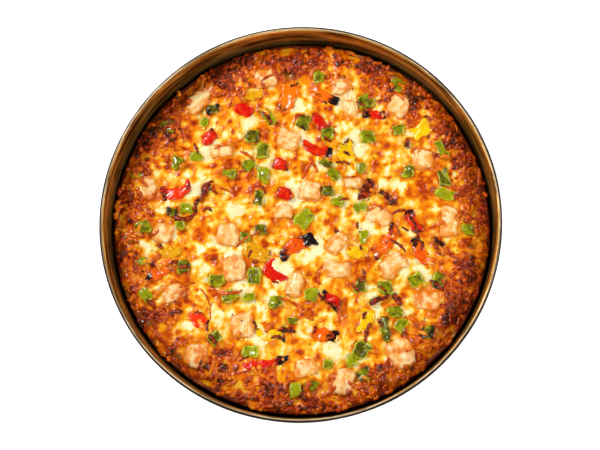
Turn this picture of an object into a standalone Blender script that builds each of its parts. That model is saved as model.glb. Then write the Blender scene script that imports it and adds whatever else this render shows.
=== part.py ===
"""Deep dish pizza in its round steel pan.

A tapered pan with a rolled rim holds a thick dough base. Baked cheese fills the dough's low rim.
Chicken and pepper pieces sit in the cheese, the large ones each in a socket of its own and the
small ones grown into it. Tables are in millimetres and degrees, everything else in metres.
"""

import math
import random

import bmesh
import bpy
from mathutils import Matrix, Vector, noise

MM = 0.001
GAP = 0.3 * MM
MERGE = 0.01 * MM

# Steel pan
RIM_RADIUS = 152.5 * MM
PAN_HEIGHT = 50.0 * MM
SHEET = 1.2 * MM
BEAD_RADIUS = 1.7 * MM
WALL_TAPER = math.radians(5.7)
FLOOR_CORNER = 6.0 * MM
PAN_STEPS = 56

# Dough, shrunk a little from the pan's wall
FOOD_STEPS = 60
SIDE_SPACE = 3.0 * MM
DOUGH_FLOOR = 18.0 * MM
DOUGH_RIM = 25.2 * MM
DOUGH_RIM_WIDTH = 3.0 * MM
DOUGH_RIM_CROWN = 0.7 * MM
DOUGH_CORNER = 5.0 * MM
RIM_WAVE = 1.0 * MM
EDGE_WOBBLE = 1.0 * MM
WOBBLE_RATE = 4.0

# Cheese, lumpy over its filling and dipping at its edge
CHEESE_TOP = 27.2 * MM
CHEESE_RINGS = 11
LUMP_SPAN = 34.0 * MM
LUMP_HEIGHT = 3.0 * MM
BLISTER_SPAN = 12.0 * MM
BLISTER_HEIGHT = 1.6 * MM
DIP_START = 128.0 * MM
EDGE_DIP = 2.0 * MM

# Toppings
SOCKET_GAP = 0.45 * MM
CHICKEN_SUNK = 0.58
PEPPER_SUNK = 0.5
DICE_SUNK = 0.5
STRIP_HEIGHT = 4.2 * MM
DICE_HEIGHT = 6.0 * MM
CHICKEN_LOWEST = 7.0 * MM
CHICKEN_HIGHEST = 9.5 * MM
CHICKEN_FULLNESS = 0.6
STRIP_CUTS = 3
SOFTNESS = 0.09
UNEVENNESS = 0.12
DICE_SLOPE = 0.3
FIRST_PEPPER_SEED = 101
SMALL_PIECES_SEED = 500

# Colours, linear
STEEL_BRONZE = (0.17, 0.055, 0.005, 1.0)
DOUGH_TAN = (0.62, 0.34, 0.12, 1.0)
CHEESE_GOLD = (0.85, 0.52, 0.16, 1.0)
CHICKEN_PALE = (0.87, 0.56, 0.27, 1.0)
PEPPER_RED = (0.72, 0.02, 0.01, 1.0)
PEPPER_ORANGE = (0.95, 0.17, 0.01, 1.0)
PEPPER_YELLOW = (0.95, 0.55, 0.02, 1.0)
PEPPER_GREEN = (0.16, 0.27, 0.01, 1.0)

# Chicken chunks: x, y, length, width, turn
CHICKEN = [
    (-27, 117, 16, 14, 10), (-80, 100, 25, 12, 55), (31, 110, 17, 9, 15), (38, 92, 13, 11, 90),
    (75, 94, 16, 14, 60), (-117, 31, 19, 10, 90), (-62, 60, 17, 9, 10), (-10, 68, 17, 14, -20),
    (-13, 12, 14, 10, 0), (7, 28, 16, 13, -10), (60, 7, 17, 11, -35), (93, 52, 16, 15, 90),
    (113, 3, 25, 14, 90), (-106, -4, 16, 14, 80), (-56, -6, 18, 16, 90), (-51, -32, 20, 16, 90),
    (-5, -45, 22, 10, 85), (27, -13, 17, 10, 50), (28, -34, 21, 13, 0), (70, -30, 20, 14, 35),
    (-98, -50, 16, 12, 20), (-45, -76, 17, 16, 90), (95, -58, 19, 13, 0), (-80, -99, 18, 14, 80),
    (76, -98, 23, 18, 110), (32, -119, 22, 15, 80), (3, -108, 16, 12, 10),
]

# Pepper strips: x, y, length, width, turn, sideways bend
RED_STRIPS = [
    (-96, 28, 26, 8, 15, 5), (56, 87, 19, 6, -5, 1), (12, 60, 25, 7, -18, 2), (22, -56, 19, 7, -40, -2),
    (-79, -71, 14, 9, -50, 1), (-28, -105, 43, 5, 8, 3), (-22, -36, 19, 9, -60, 3), (85, 3, 19, 7, -62, 2),
]
ORANGE_STRIPS = [
    (-10, 105, 29, 11, 85, 2), (18, 102, 25, 7, -25, 1), (-110, -34, 27, 8, 25, 2), (-4, -15, 34, 9, 28, -2),
    (64, -13, 34, 8, 50, 2), (92, -21, 26, 8, -52, 3), (18, -84, 22, 9, -12, 2),
]
YELLOW_STRIPS = [
    (-37, 104, 19, 6, 5, 2), (93, 75, 17, 9, 35, 2), (35, 57, 19, 11, -75, 2), (-101, -19, 16, 7, -10, 2),
    (-34, -20, 20, 11, -20, 1), (42, -20, 17, 8, -10, 1), (-22, -83, 25, 7, 10, 4), (49, -73, 19, 9, 80, 2),
]
GREEN_CHUNKS = [
    (3, 6, 15, 11, 60, 0), (-119, -52, 13, 8, -50, 1), (46, -95, 14, 11, 50, 0), (63, -80, 22, 6, -85, 1),
    (109, 38, 16, 8, -80, 0), (51, 70, 12, 10, 0, 0), (-36, -38, 12, 10, 90, 0),
]

# Small pieces grown into the cheese: x, y, length, width, turn
SMALL_PIECES = [
    (14, 117, 9, 8, 0), (49, 98, 9, 9, 20), (74, 111, 11, 8, -35), (-76, 83, 9, 6, 60), (-68, 93, 9, 7, 0),
    (-26, 87, 13, 7, -60), (-37, 71, 9, 9, 0), (-29, 60, 10, 7, 90), (-103, 79, 9, 7, 0), (-95, 51, 9, 9, 5),
    (-81, 55, 11, 7, 0), (-56, 42, 9, 5, -10), (-40, 49, 8, 8, 40), (-30, 42, 12, 9, 80), (-127, 43, 8, 7, 0),
    (-33, 23, 11, 6, 80), (2, 82, 11, 9, 60), (20, 72, 9, 8, 10), (75, 75, 9, 7, 0), (19, 49, 10, 4, -20),
    (47, 45, 9, 6, 90), (25, 40, 9, 7, -60), (82, 42, 9, 8, 90), (20, 28, 8, 8, 0), (28, 19, 8, 7, 0),
    (45, 14, 9, 7, 20), (-88, 15, 10, 7, 0), (-99, 12, 7, 6, 0), (-121, 0, 11, 9, 20), (-93, 3, 9, 6, 90),
    (-43, -7, 8, 7, 0), (-31, -2, 7, 6, 0), (-89, -30, 9, 9, 0), (-121, -25, 8, 6, 0), (-65, -41, 11, 9, 0),
    (-55, -53, 9, 8, 30), (-40, -54, 9, 5, 10), (-19, -58, 9, 9, 0), (-39, -96, 12, 8, 0), (-66, -86, 9, 9, 30),
    (48, -8, 11, 6, 80), (127, -4, 9, 9, 0), (7, -53, 10, 9, 0), (64, -48, 9, 9, 0), (45, -46, 12, 7, 90),
    (87, -42, 10, 9, 30), (105, -43, 12, 8, 80), (71, -66, 9, 8, 20), (75, -77, 9, 7, 60), (37, -104, 8, 7, 40),
    (47, -114, 10, 9, 30), (20, -106, 7, 6, 0), (-4, -125, 12, 9, 90), (8, -122, 9, 6, 60), (95, -83, 10, 9, 0),
    (-6, -73, 8, 6, 0), (40, 34, 11, 7, 0), (14, 83, 12, 7, -65), (108, 59, 16, 5, -60), (-13, 26, 10, 9, 0),
    (-44, 92, 12, 8, -20), (-16, 49, 12, 8, -15), (-71, 71, 12, 9, 25), (110, 24, 16, 7, -10),
    (-76, 26, 18, 5, 70), (49, 29, 17, 5, 70), (66, 21, 15, 5, -50), (81, 63, 11, 5, 90), (104, -13, 12, 5, 0),
    (61, -58, 16, 5, 20),
]


def clear_scene():
    """Removes every object, mesh, material and collection that the file holds."""
    for obj in list(bpy.data.objects):
        bpy.data.objects.remove(obj, do_unlink=True)
    for group in (bpy.data.meshes, bpy.data.materials, bpy.data.collections):
        for item in list(group):
            group.remove(item)


def new_collection(name):
    """A collection linked to the scene."""
    collection = bpy.data.collections.new(name)
    bpy.context.scene.collection.children.link(collection)
    return collection


def new_material(name, colour, roughness, metallic=0.0):
    """A Principled material with one colour."""
    material = bpy.data.materials.new(name)
    material.use_nodes = True
    shader = material.node_tree.nodes["Principled BSDF"]
    shader.inputs["Base Color"].default_value = colour
    shader.inputs["Roughness"].default_value = roughness
    shader.inputs["Metallic"].default_value = metallic
    material.diffuse_color = colour
    return material


def mesh_object(name, bm, collection, material):
    """An object from a bmesh, which is freed."""
    mesh = bpy.data.meshes.new(name)
    bm.to_mesh(mesh)
    bm.free()
    mesh.materials.append(material)
    obj = bpy.data.objects.new(name, mesh)
    collection.objects.link(obj)
    return obj


def apply_modifiers(obj):
    """Gives the object its evaluated mesh in place of its modifiers."""
    bpy.context.view_layer.update()
    evaluated = obj.evaluated_get(bpy.context.evaluated_depsgraph_get())
    mesh = bpy.data.meshes.new_from_object(evaluated)
    obj.modifiers.clear()
    obj.data = mesh


def arc(centre_radius, centre_height, radius, start, end, steps):
    """Points on an arc in the profile's plane, from angle start to angle end."""
    angles = [start + (end - start) * i / steps for i in range(steps + 1)]
    return [(centre_radius + radius * math.cos(a), centre_height + radius * math.sin(a)) for a in angles]


def turned(name, profile, steps, collection, material):
    """A solid turned round +Z from an outline that runs down its outer side from axis to axis."""
    bm = bmesh.new()
    verts = [bm.verts.new((radius, 0.0, height)) for radius, height in profile]
    for upper, lower in zip(verts, verts[1:]):
        bm.edges.new((upper, lower))
    obj = mesh_object(name, bm, collection, material)
    screw = obj.modifiers.new("Turn", "SCREW")
    screw.steps = steps
    screw.render_steps = steps
    screw.use_merge_vertices = True
    screw.merge_threshold = MERGE
    return obj


def wall_radius(height):
    """Inner radius of the pan's tapered wall at a height above the table."""
    top_radius = RIM_RADIUS - BEAD_RADIUS * (1.0 + math.cos(WALL_TAPER))
    top_height = PAN_HEIGHT - BEAD_RADIUS * (1.0 - math.sin(WALL_TAPER))
    return top_radius - (top_height - height) * math.tan(WALL_TAPER)


def pan_profile():
    """Floor, inner corner, wall, rolled rim, outer wall, outer corner and underside."""
    straight_down = -0.5 * math.pi
    corner_height = SHEET + FLOOR_CORNER
    corner_radius = wall_radius(corner_height) - FLOOR_CORNER / math.cos(WALL_TAPER)
    rim_end = -WALL_TAPER - math.acos(-(BEAD_RADIUS - SHEET) / BEAD_RADIUS)
    profile = [(0.0, SHEET)]
    profile += arc(corner_radius, corner_height, FLOOR_CORNER, straight_down, -WALL_TAPER, 2)
    rim_start = math.pi - WALL_TAPER
    profile += arc(RIM_RADIUS - BEAD_RADIUS, PAN_HEIGHT - BEAD_RADIUS, BEAD_RADIUS, rim_start, rim_end, 6)
    profile += arc(corner_radius, corner_height, FLOOR_CORNER + SHEET, -WALL_TAPER, straight_down, 2)
    profile.append((0.0, 0.0))
    return profile


def recess_radius():
    """Radius of the dough's recess, which the cheese fills."""
    return wall_radius(DOUGH_RIM) - SIDE_SPACE - DOUGH_RIM_WIDTH


def dough_profile():
    """Recess floor, low rim, tapered side, rounded corner and underside."""
    bottom = SHEET + GAP
    inner = recess_radius()
    corner_height = bottom + DOUGH_CORNER
    corner_radius = wall_radius(corner_height) - SIDE_SPACE - DOUGH_CORNER / math.cos(WALL_TAPER)
    profile = [(0.0, DOUGH_FLOOR), (inner, DOUGH_FLOOR), (inner, DOUGH_RIM)]
    profile.append((inner + 0.5 * DOUGH_RIM_WIDTH, DOUGH_RIM + DOUGH_RIM_CROWN))
    profile.append((inner + DOUGH_RIM_WIDTH, DOUGH_RIM - DOUGH_RIM_CROWN))
    profile += arc(corner_radius, corner_height, DOUGH_CORNER, -WALL_TAPER, -0.5 * math.pi, 2)
    profile.append((0.0, bottom))
    return profile


def ring_noise(x, y, channel):
    """A smooth value that wanders round the pizza and closes on itself."""
    direction = Vector((x, y, 0.0)).normalized()
    return noise.noise(direction * WOBBLE_RATE + Vector((0.0, 0.0, channel)))


def wobble_edge(mesh):
    """Pushes the points near the edge in and out, fully from the cheese's side outwards."""
    full = recess_radius() - GAP
    for vert in mesh.vertices:
        radius = math.hypot(vert.co.x, vert.co.y)
        if radius > DIP_START and vert.co.z > DOUGH_FLOOR - MERGE:
            weight = min(1.0, (radius - DIP_START) / (full - DIP_START))
            shift = EDGE_WOBBLE * weight * ring_noise(vert.co.x, vert.co.y, 0.0) / radius
            vert.co.x *= 1.0 + shift
            vert.co.y *= 1.0 + shift


def filling(x, y):
    """Height of the baked filling without its blisters, which the toppings follow."""
    radius = math.hypot(x, y)
    lumps = LUMP_HEIGHT * noise.noise(Vector((x, y, 0.0)) / LUMP_SPAN)
    past = max(0.0, (radius - DIP_START) / (recess_radius() - DIP_START))
    return CHEESE_TOP + lumps - EDGE_DIP * past ** 2


def make_pan(parts):
    """The pan, pressed from one sheet."""
    turned("pan", pan_profile(), PAN_STEPS, parts, new_material("pan_steel", STEEL_BRONZE, 0.4, 1.0))


def make_crust(parts):
    """The dough base with its low uneven rim."""
    obj = turned("crust", dough_profile(), FOOD_STEPS, parts, new_material("dough", DOUGH_TAN, 0.85))
    apply_modifiers(obj)
    wobble_edge(obj.data)
    for vert in obj.data.vertices:
        if vert.co.z > DOUGH_RIM - 2.0 * DOUGH_RIM_CROWN:
            vert.co.z += RIM_WAVE * ring_noise(vert.co.x, vert.co.y, 7.0)


def sides_met(vert):
    """How many sides of the two-unit cube a point lies on."""
    return sum(abs(c) > 1.0 - MERGE for c in vert.co)


def lump(size, seed, is_strip, bend, grow):
    """A soft-edged uneven block round the origin, long along +X: a bent strip or a chunk.

    The same seed gives the same form whatever the growth, so a socket fits its piece all round.
    """
    half = [0.5 * side + grow for side in size]
    rng = random.Random(seed)
    bm = bmesh.new()
    bmesh.ops.create_cube(bm, size=2.0)
    if is_strip:
        cuts = STRIP_CUTS
        edges = [edge for edge in bm.edges if edge.verts[0].co.x * edge.verts[1].co.x < 0.0]
    else:
        cuts = 1
        edges = bm.edges[:]
    bmesh.ops.subdivide_edges(bm, edges=edges, cuts=cuts, use_grid_fill=True)
    fewest_sides = min(sides_met(vert) for vert in bm.verts)
    for vert in bm.verts:
        along = vert.co.x
        pull = 1.0 - SOFTNESS * (sides_met(vert) - fewest_sides)
        vert.co = Vector([c * (pull - UNEVENNESS * rng.random()) * h for c, h in zip(vert.co, half)])
        vert.co.y += bend * (along ** 2 - 1.0 / 3.0)
    bmesh.ops.triangulate(bm, faces=bm.faces, quad_method="FIXED")
    return bm


def lay(bm, x, y, turn, lift):
    """Turns a block, moves it to its place in a table's units and drapes it over the filling."""
    place = Matrix.Translation((x * MM, y * MM, lift)) @ Matrix.Rotation(math.radians(turn), 4, "Z")
    bmesh.ops.transform(bm, matrix=place, verts=bm.verts)
    for vert in bm.verts:
        vert.co.z += filling(vert.co.x, vert.co.y)


def piece_with_socket(name, row, height, sunk, seed, is_strip, material, parts, cutters):
    """One topping, and the slightly larger solid that cuts its socket in the cheese."""
    x, y, length, width, turn, bend = row
    size = (length * MM, width * MM, height)
    for grow, label, collection in ((0.0, name, parts), (SOCKET_GAP, f"{name}_socket", cutters)):
        bm = lump(size, seed, is_strip, bend * MM, grow)
        lay(bm, x, y, turn, (0.5 - sunk) * height)
        obj = mesh_object(label, bm, collection, material)
        if collection == cutters:
            obj.hide_render = True
            obj.display_type = "WIRE"


def make_chicken(parts, cutters):
    """Chunks of roast chicken, the wide ones thicker."""
    material = new_material("chicken", CHICKEN_PALE, 0.5)
    for number, row in enumerate(CHICKEN, 1):
        name = f"chicken_{number:02d}"
        width = row[3] * MM
        height = min(CHICKEN_HIGHEST, max(CHICKEN_LOWEST, CHICKEN_FULLNESS * width))
        piece_with_socket(name, row + (0,), height, CHICKEN_SUNK, number, False, material, parts, cutters)


def make_peppers(parts, cutters):
    """Strips of red, orange and yellow pepper, and the large pieces of green."""
    kinds = (
        ("red_pepper", RED_STRIPS, PEPPER_RED, STRIP_HEIGHT, True),
        ("orange_pepper", ORANGE_STRIPS, PEPPER_ORANGE, STRIP_HEIGHT, True),
        ("yellow_pepper", YELLOW_STRIPS, PEPPER_YELLOW, STRIP_HEIGHT, True),
        ("green_pepper", GREEN_CHUNKS, PEPPER_GREEN, DICE_HEIGHT, False),
    )
    seed = FIRST_PEPPER_SEED
    for kind, rows, colour, height, is_strip in kinds:
        material = new_material(kind, colour, 0.3)
        for number, row in enumerate(rows, 1):
            name = f"{kind}_{number}"
            piece_with_socket(name, row, height, PEPPER_SUNK, seed, is_strip, material, parts, cutters)
            seed += 1


def fuse_small_pieces(cheese, collection, material):
    """Joins the small pieces to the cheese in one union."""
    rng = random.Random(SMALL_PIECES_SEED)
    for number, (x, y, length, width, turn) in enumerate(SMALL_PIECES, 1):
        height = DICE_HEIGHT * rng.uniform(0.8, 1.1)
        bm = bmesh.new()
        bmesh.ops.create_cube(bm, size=1.0)
        for vert in bm.verts:
            slope = 1.0 - DICE_SLOPE * rng.random()
            vert.co = Vector((vert.co.x * slope * length * MM, vert.co.y * slope * width * MM, vert.co.z * height))
        lay(bm, x, y, turn, (0.5 - DICE_SUNK) * height)
        mesh_object(f"small_{number:02d}", bm, collection, material)
    union = cheese.modifiers.new("Small pieces", "BOOLEAN")
    union.operation = "UNION"
    union.operand_type = "COLLECTION"
    union.collection = collection
    union.solver = "EXACT"
    apply_modifiers(cheese)
    for obj in list(collection.objects):
        bpy.data.objects.remove(obj, do_unlink=True)
    bpy.data.collections.remove(collection)


def drop_scraps(mesh):
    """Keeps the largest connected body of a cut mesh and drops any slivers that the cut left loose."""
    bm = bmesh.new()
    bm.from_mesh(mesh)
    waiting = set(bm.verts)
    bodies = []
    while waiting:
        front = [waiting.pop()]
        body = set(front)
        while front:
            reached = {edge.other_vert(vert) for vert in front for edge in vert.link_edges} - body
            body |= reached
            front = list(reached)
        waiting -= body
        bodies.append(body)
    largest = max(bodies, key=len)
    scraps = [vert for vert in bm.verts if vert not in largest]
    bmesh.ops.delete(bm, geom=scraps, context="VERTS")
    bm.to_mesh(mesh)
    bm.free()


def make_cheese(parts, cutters):
    """The baked cheese with its lumps, the small pieces and a socket for each large one."""
    material = new_material("cheese", CHEESE_GOLD, 0.4)
    outer = recess_radius() - GAP
    underside = DOUGH_FLOOR + GAP
    profile = [(outer * ring / CHEESE_RINGS, CHEESE_TOP) for ring in range(CHEESE_RINGS + 1)]
    profile += [(outer, underside), (0.0, underside)]
    cheese = turned("cheese", profile, FOOD_STEPS, parts, material)
    apply_modifiers(cheese)
    wobble_edge(cheese.data)
    for vert in cheese.data.vertices:
        if vert.co.z > underside + GAP:
            blisters = BLISTER_HEIGHT * noise.noise(Vector((vert.co.x, vert.co.y, BLISTER_SPAN)) / BLISTER_SPAN)
            vert.co.z = filling(vert.co.x, vert.co.y) + blisters
    fuse_small_pieces(cheese, new_collection("small_pieces"), material)
    sockets = cheese.modifiers.new("Sockets", "BOOLEAN")
    sockets.operation = "DIFFERENCE"
    sockets.operand_type = "COLLECTION"
    sockets.collection = cutters
    sockets.solver = "EXACT"
    apply_modifiers(cheese)
    drop_scraps(cheese.data)


def main():
    clear_scene()
    parts = new_collection("deep_dish_pizza")
    cutters = new_collection("cutters")
    make_pan(parts)
    make_crust(parts)
    make_chicken(parts, cutters)
    make_peppers(parts, cutters)
    make_cheese(parts, cutters)


main()
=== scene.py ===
"""Looks of a deep dish pizza in its round steel pan.

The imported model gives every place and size. Each of its nodes is replaced by a finer piece of the
same form: the turned pan and dough, the baked cheese with its browned top, and the toppings. Loose
strands of cheese, curls of charred skin and specks of seasoning lie on top. Tables of places are in
millimetres and degrees.
"""
import math
import random

import bmesh
import bpy
import numpy as np
from bpy.props import FloatProperty, FloatVectorProperty, IntProperty, PointerProperty
from mathutils import Matrix, Vector, kdtree, noise
from mathutils.bvhtree import BVHTree


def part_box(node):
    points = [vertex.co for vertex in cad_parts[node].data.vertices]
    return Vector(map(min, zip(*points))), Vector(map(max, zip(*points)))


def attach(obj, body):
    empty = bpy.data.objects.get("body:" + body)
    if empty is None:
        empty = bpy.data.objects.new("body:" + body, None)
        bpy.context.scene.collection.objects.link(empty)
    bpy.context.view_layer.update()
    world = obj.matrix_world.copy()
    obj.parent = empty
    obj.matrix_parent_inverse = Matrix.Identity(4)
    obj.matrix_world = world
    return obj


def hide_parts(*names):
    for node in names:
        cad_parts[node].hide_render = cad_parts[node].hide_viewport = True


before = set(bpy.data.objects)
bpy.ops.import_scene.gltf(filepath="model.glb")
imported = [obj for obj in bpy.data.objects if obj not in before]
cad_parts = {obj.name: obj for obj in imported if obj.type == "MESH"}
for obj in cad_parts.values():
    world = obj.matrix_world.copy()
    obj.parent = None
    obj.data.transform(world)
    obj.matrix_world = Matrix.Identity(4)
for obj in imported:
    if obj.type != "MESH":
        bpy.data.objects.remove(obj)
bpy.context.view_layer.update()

bl_info = {
    "name": "Deep Dish Pizza",
    "version": (1, 0, 0),
    "blender": (4, 5, 0),
    "location": "3D View > Sidebar > Pizza",
    "description": "Dresses the packed deep dish pizza with fine pieces and baked finishes",
    "category": "Add Mesh",
}

MM = 0.001
MERGE = 0.01 * MM

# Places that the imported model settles
RIM_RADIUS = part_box("pan")[1].x
PAN_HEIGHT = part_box("pan")[1].z
CHEESE_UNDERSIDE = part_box("cheese")[0].z
DOUGH_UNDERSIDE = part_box("crust")[0].z

# Pan, as pressed
SHEET = 1.2 * MM
BEAD_RADIUS = 1.7 * MM
WALL_TAPER = math.radians(5.7)
FLOOR_CORNER = 6.0 * MM

# Dough and filling, as baked
SIDE_SPACE = 3.0 * MM
DOUGH_FLOOR = 18.0 * MM
DOUGH_RIM = 25.2 * MM
DOUGH_RIM_WIDTH = 3.0 * MM
DOUGH_RIM_CROWN = 0.7 * MM
DOUGH_CORNER = 5.0 * MM
RIM_WAVE = 1.0 * MM
EDGE_WOBBLE = 1.0 * MM
WOBBLE_RATE = 4.0
CHEESE_TOP = 27.2 * MM
LUMP_SPAN = 34.0 * MM
LUMP_HEIGHT = 3.0 * MM
BLISTER_SPAN = 12.0 * MM
BLISTER_HEIGHT = 1.6 * MM
DIP_START = 128.0 * MM
EDGE_DIP = 2.0 * MM

# Small pieces grown into the cheese
DICE_HEIGHT = 6.0 * MM
DICE_SLOPE = 0.3
SMALL_PIECES_SEED = 500

# Node names of the large toppings, and the pieces that this script makes of all toppings
CHICKEN_NODES = [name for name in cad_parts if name.startswith("chicken_")]
STRIP_NODES = [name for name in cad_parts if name.startswith(("red_", "orange_", "yellow_"))]
TOPPING_PIECES = ("roast_chicken", "red_pepper_pieces", "orange_pepper_pieces", "yellow_pepper_pieces",
                  "green_pepper_pieces", "charred_strips")

# How a topping bends sideways: depth, span and how much it widens all round. Rows of its relief:
# depth, span and how far it is drawn out along the piece
CHICKEN_BEND = (1.7 * MM, 8.0 * MM, 1.1 * MM)
CHICKEN_RELIEF = ((1.6 * MM, 8.0 * MM, 1.0), (0.45 * MM, 1.6 * MM, 3.0))
PEPPER_BEND = (1.8 * MM, 5.0 * MM, 0.6 * MM)
PEPPER_RELIEF = ((1.5 * MM, 7.0 * MM, 1.0), (0.45 * MM, 1.8 * MM, 2.0))
CHARRED_BEND = (4.5 * MM, 9.0 * MM, 0.0)
CHARRED_RELIEF = ((1.4 * MM, 6.0 * MM, 1.0), (0.6 * MM, 2.0 * MM, 1.0))

# Large peppers: how light, how charred at the start and at the end of each piece
RED_PAINT = [
    (0.85, 0.55, 0.25), (0.35, 1.0, 0.5), (0.5, 0.1, 0.85), (0.2, 0.9, 0.5),
    (0.95, 0.0, 0.0), (0.25, 0.0, 1.0), (0.1, 0.0, 0.0), (0.7, 0.6, 0.5),
]
ORANGE_PAINT = [
    (1.0, 0.45, 0.0), (0.8, 0.1, 1.0), (0.35, 1.0, 0.1), (0.2, 0.6, 1.0),
    (0.5, 0.55, 0.5), (0.4, 0.7, 0.3), (0.45, 0.3, 0.9),
]
YELLOW_PAINT = [
    (0.15, 0.1, 0.1), (1.0, 0.0, 0.1), (0.6, 0.5, 0.2), (0.2, 0.0, 0.2),
    (0.0, 0.3, 0.3), (0.5, 0.0, 0.1), (0.75, 0.1, 0.5), (0.9, 0.0, 0.1),
]
GREEN_PAINT = [
    (0.95, 0.0, 0.2), (0.9, 0.0, 0.1), (0.15, 0.3, 0.2), (0.3, 0.6, 0.2),
    (0.3, 0.2, 0.3), (0.6, 0.0, 0.1), (0.35, 0.0, 0.0),
]

# Small pieces: x, y, length, width, turn, finish
SMALL_PIECES = [
    (14, 117, 9, 8, 0, "mid"), (49, 98, 9, 9, 20, "mid"), (74, 111, 11, 8, -35, "mid"),
    (-76, 83, 9, 6, 60, "light"), (-68, 93, 9, 7, 0, "burnt"), (-26, 87, 13, 7, -60, "mid"),
    (-37, 71, 9, 9, 0, "olive"), (-29, 60, 10, 7, 90, "mid"), (-103, 79, 9, 7, 0, "dark"),
    (-95, 51, 9, 9, 5, "mid"), (-81, 55, 11, 7, 0, "light"), (-56, 42, 9, 5, -10, "mid"),
    (-40, 49, 8, 8, 40, "mid"), (-30, 42, 12, 9, 80, "light"), (-127, 43, 8, 7, 0, "mid"),
    (-33, 23, 11, 6, 80, "dark"), (2, 82, 11, 9, 60, "olive"), (20, 72, 9, 8, 10, "mid"),
    (75, 75, 9, 7, 0, "mid"), (19, 49, 10, 4, -20, "dark"), (47, 45, 9, 6, 90, "mid"),
    (25, 40, 9, 7, -60, "mid"), (82, 42, 9, 8, 90, "mid"), (20, 28, 8, 8, 0, "dark"),
    (28, 19, 8, 7, 0, "light"), (45, 14, 9, 7, 20, "light"), (-88, 15, 10, 7, 0, "light"),
    (-99, 12, 7, 6, 0, "burnt"), (-121, 0, 11, 9, 20, "mid"), (-93, 3, 9, 6, 90, "light"),
    (-43, -7, 8, 7, 0, "mid"), (-31, -2, 7, 6, 0, "olive"), (-89, -30, 9, 9, 0, "dark"),
    (-121, -25, 8, 6, 0, "mid"), (-65, -41, 11, 9, 0, "mid"), (-55, -53, 9, 8, 30, "mid"),
    (-40, -54, 9, 5, 10, "light"), (-19, -58, 9, 9, 0, "mid"), (-39, -96, 12, 8, 0, "light"),
    (-66, -86, 9, 9, 30, "mid"), (48, -8, 11, 6, 80, "light"), (127, -4, 9, 9, 0, "light"),
    (7, -53, 10, 9, 0, "light"), (64, -48, 9, 9, 0, "mid"), (45, -46, 12, 7, 90, "dark"),
    (87, -42, 10, 9, 30, "mid"), (105, -43, 12, 8, 80, "olive"), (71, -66, 9, 8, 20, "mid"),
    (75, -77, 9, 7, 60, "mid"), (37, -104, 8, 7, 40, "light"), (47, -114, 10, 9, 30, "olive"),
    (20, -106, 7, 6, 0, "mid"), (-4, -125, 12, 9, 90, "light"), (8, -122, 9, 6, 60, "olive"),
    (95, -83, 10, 9, 0, "burnt"), (-6, -73, 8, 6, 0, "mid"), (40, 34, 11, 7, 0, "chicken"),
    (14, 83, 12, 7, -65, "red"), (108, 59, 16, 5, -60, "mid"), (-13, 26, 10, 9, 0, "red"),
    (-44, 92, 12, 8, -20, "red"), (-16, 49, 12, 8, -15, "red"), (-71, 71, 12, 9, 25, "red"),
    (110, 24, 16, 7, -10, "light"), (-76, 26, 18, 5, 70, "charred"), (49, 29, 17, 5, 70, "charred"),
    (66, 21, 15, 5, -50, "charred"), (81, 63, 11, 5, 90, "charred"), (104, -13, 12, 5, 0, "charred"),
    (61, -58, 16, 5, 20, "charred"),
]
# How light and how charred each finish of green pepper is
GREEN_FINISHES = {"mid": (0.5, 0.26), "light": (0.9, 0.14), "dark": (0.15, 0.38), "olive": (0.35, 0.52),
                  "burnt": (0.1, 0.75)}

# Stretches of cheese that stayed pale, and those that browned most: x, y, reach
PALE_PLACES = [
    (-63, 74, 9), (-6, 65, 8), (-42, 83, 8), (-83, 25, 9), (-27, 44, 8), (-71, 59, 6), (-52, 15, 11),
    (-6, 22, 10), (-3, 94, 7), (-8, 34, 8), (16, 49, 9), (-16, -32, 12), (-59, -18, 11), (8, -19, 11),
    (50, 0, 10), (28, 28, 8), (-44, -48, 9), (-102, -3, 7), (-117, -17, 7), (-60, -64, 9), (-35, -83, 10),
    (-22, -53, 8), (-109, -48, 7), (15, -13, 9), (75, -34, 10), (94, -33, 9), (25, -95, 11), (80, -64, 8),
    (42, 73, 9), (5, 67, 9), (46, 58, 9), (61, 41, 8), (35, 103, 7), (43, 18, 8), (60, -48, 9),
]
BROWNED_PLACES = [
    (-42, 134, 12), (-63, 118, 13), (-53, 107, 9), (-104, 97, 11), (-115, 75, 13), (-128, 62, 10),
    (-132, 22, 11), (-94, 68, 8), (-58, 51, 5), (-52, 79, 6), (-38, 41, 5), (-55, 30, 9), (4, 45, 6),
    (-40, 7, 4), (-30, -4, 5), (22, 33, 4), (11, -39, 4), (-76, -5, 8), (-65, -23, 7), (-87, -45, 9),
    (-111, -66, 14), (-134, -19, 9), (-60, -97, 8), (-55, -113, 11), (59, -106, 7), (64, -122, 8),
    (3, -69, 7), (77, 41, 6), (87, 28, 8), (57, 47, 4), (98, 31, 8), (33, -47, 4), (0, 128, 14),
    (30, 130, 10), (66, 116, 12), (88, 97, 12), (112, 76, 11), (128, 55, 12), (133, 26, 10),
    (124, -30, 11), (121, -52, 13), (112, -70, 11), (10, -133, 12), (-25, -128, 10), (-80, -112, 8),
]
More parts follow.
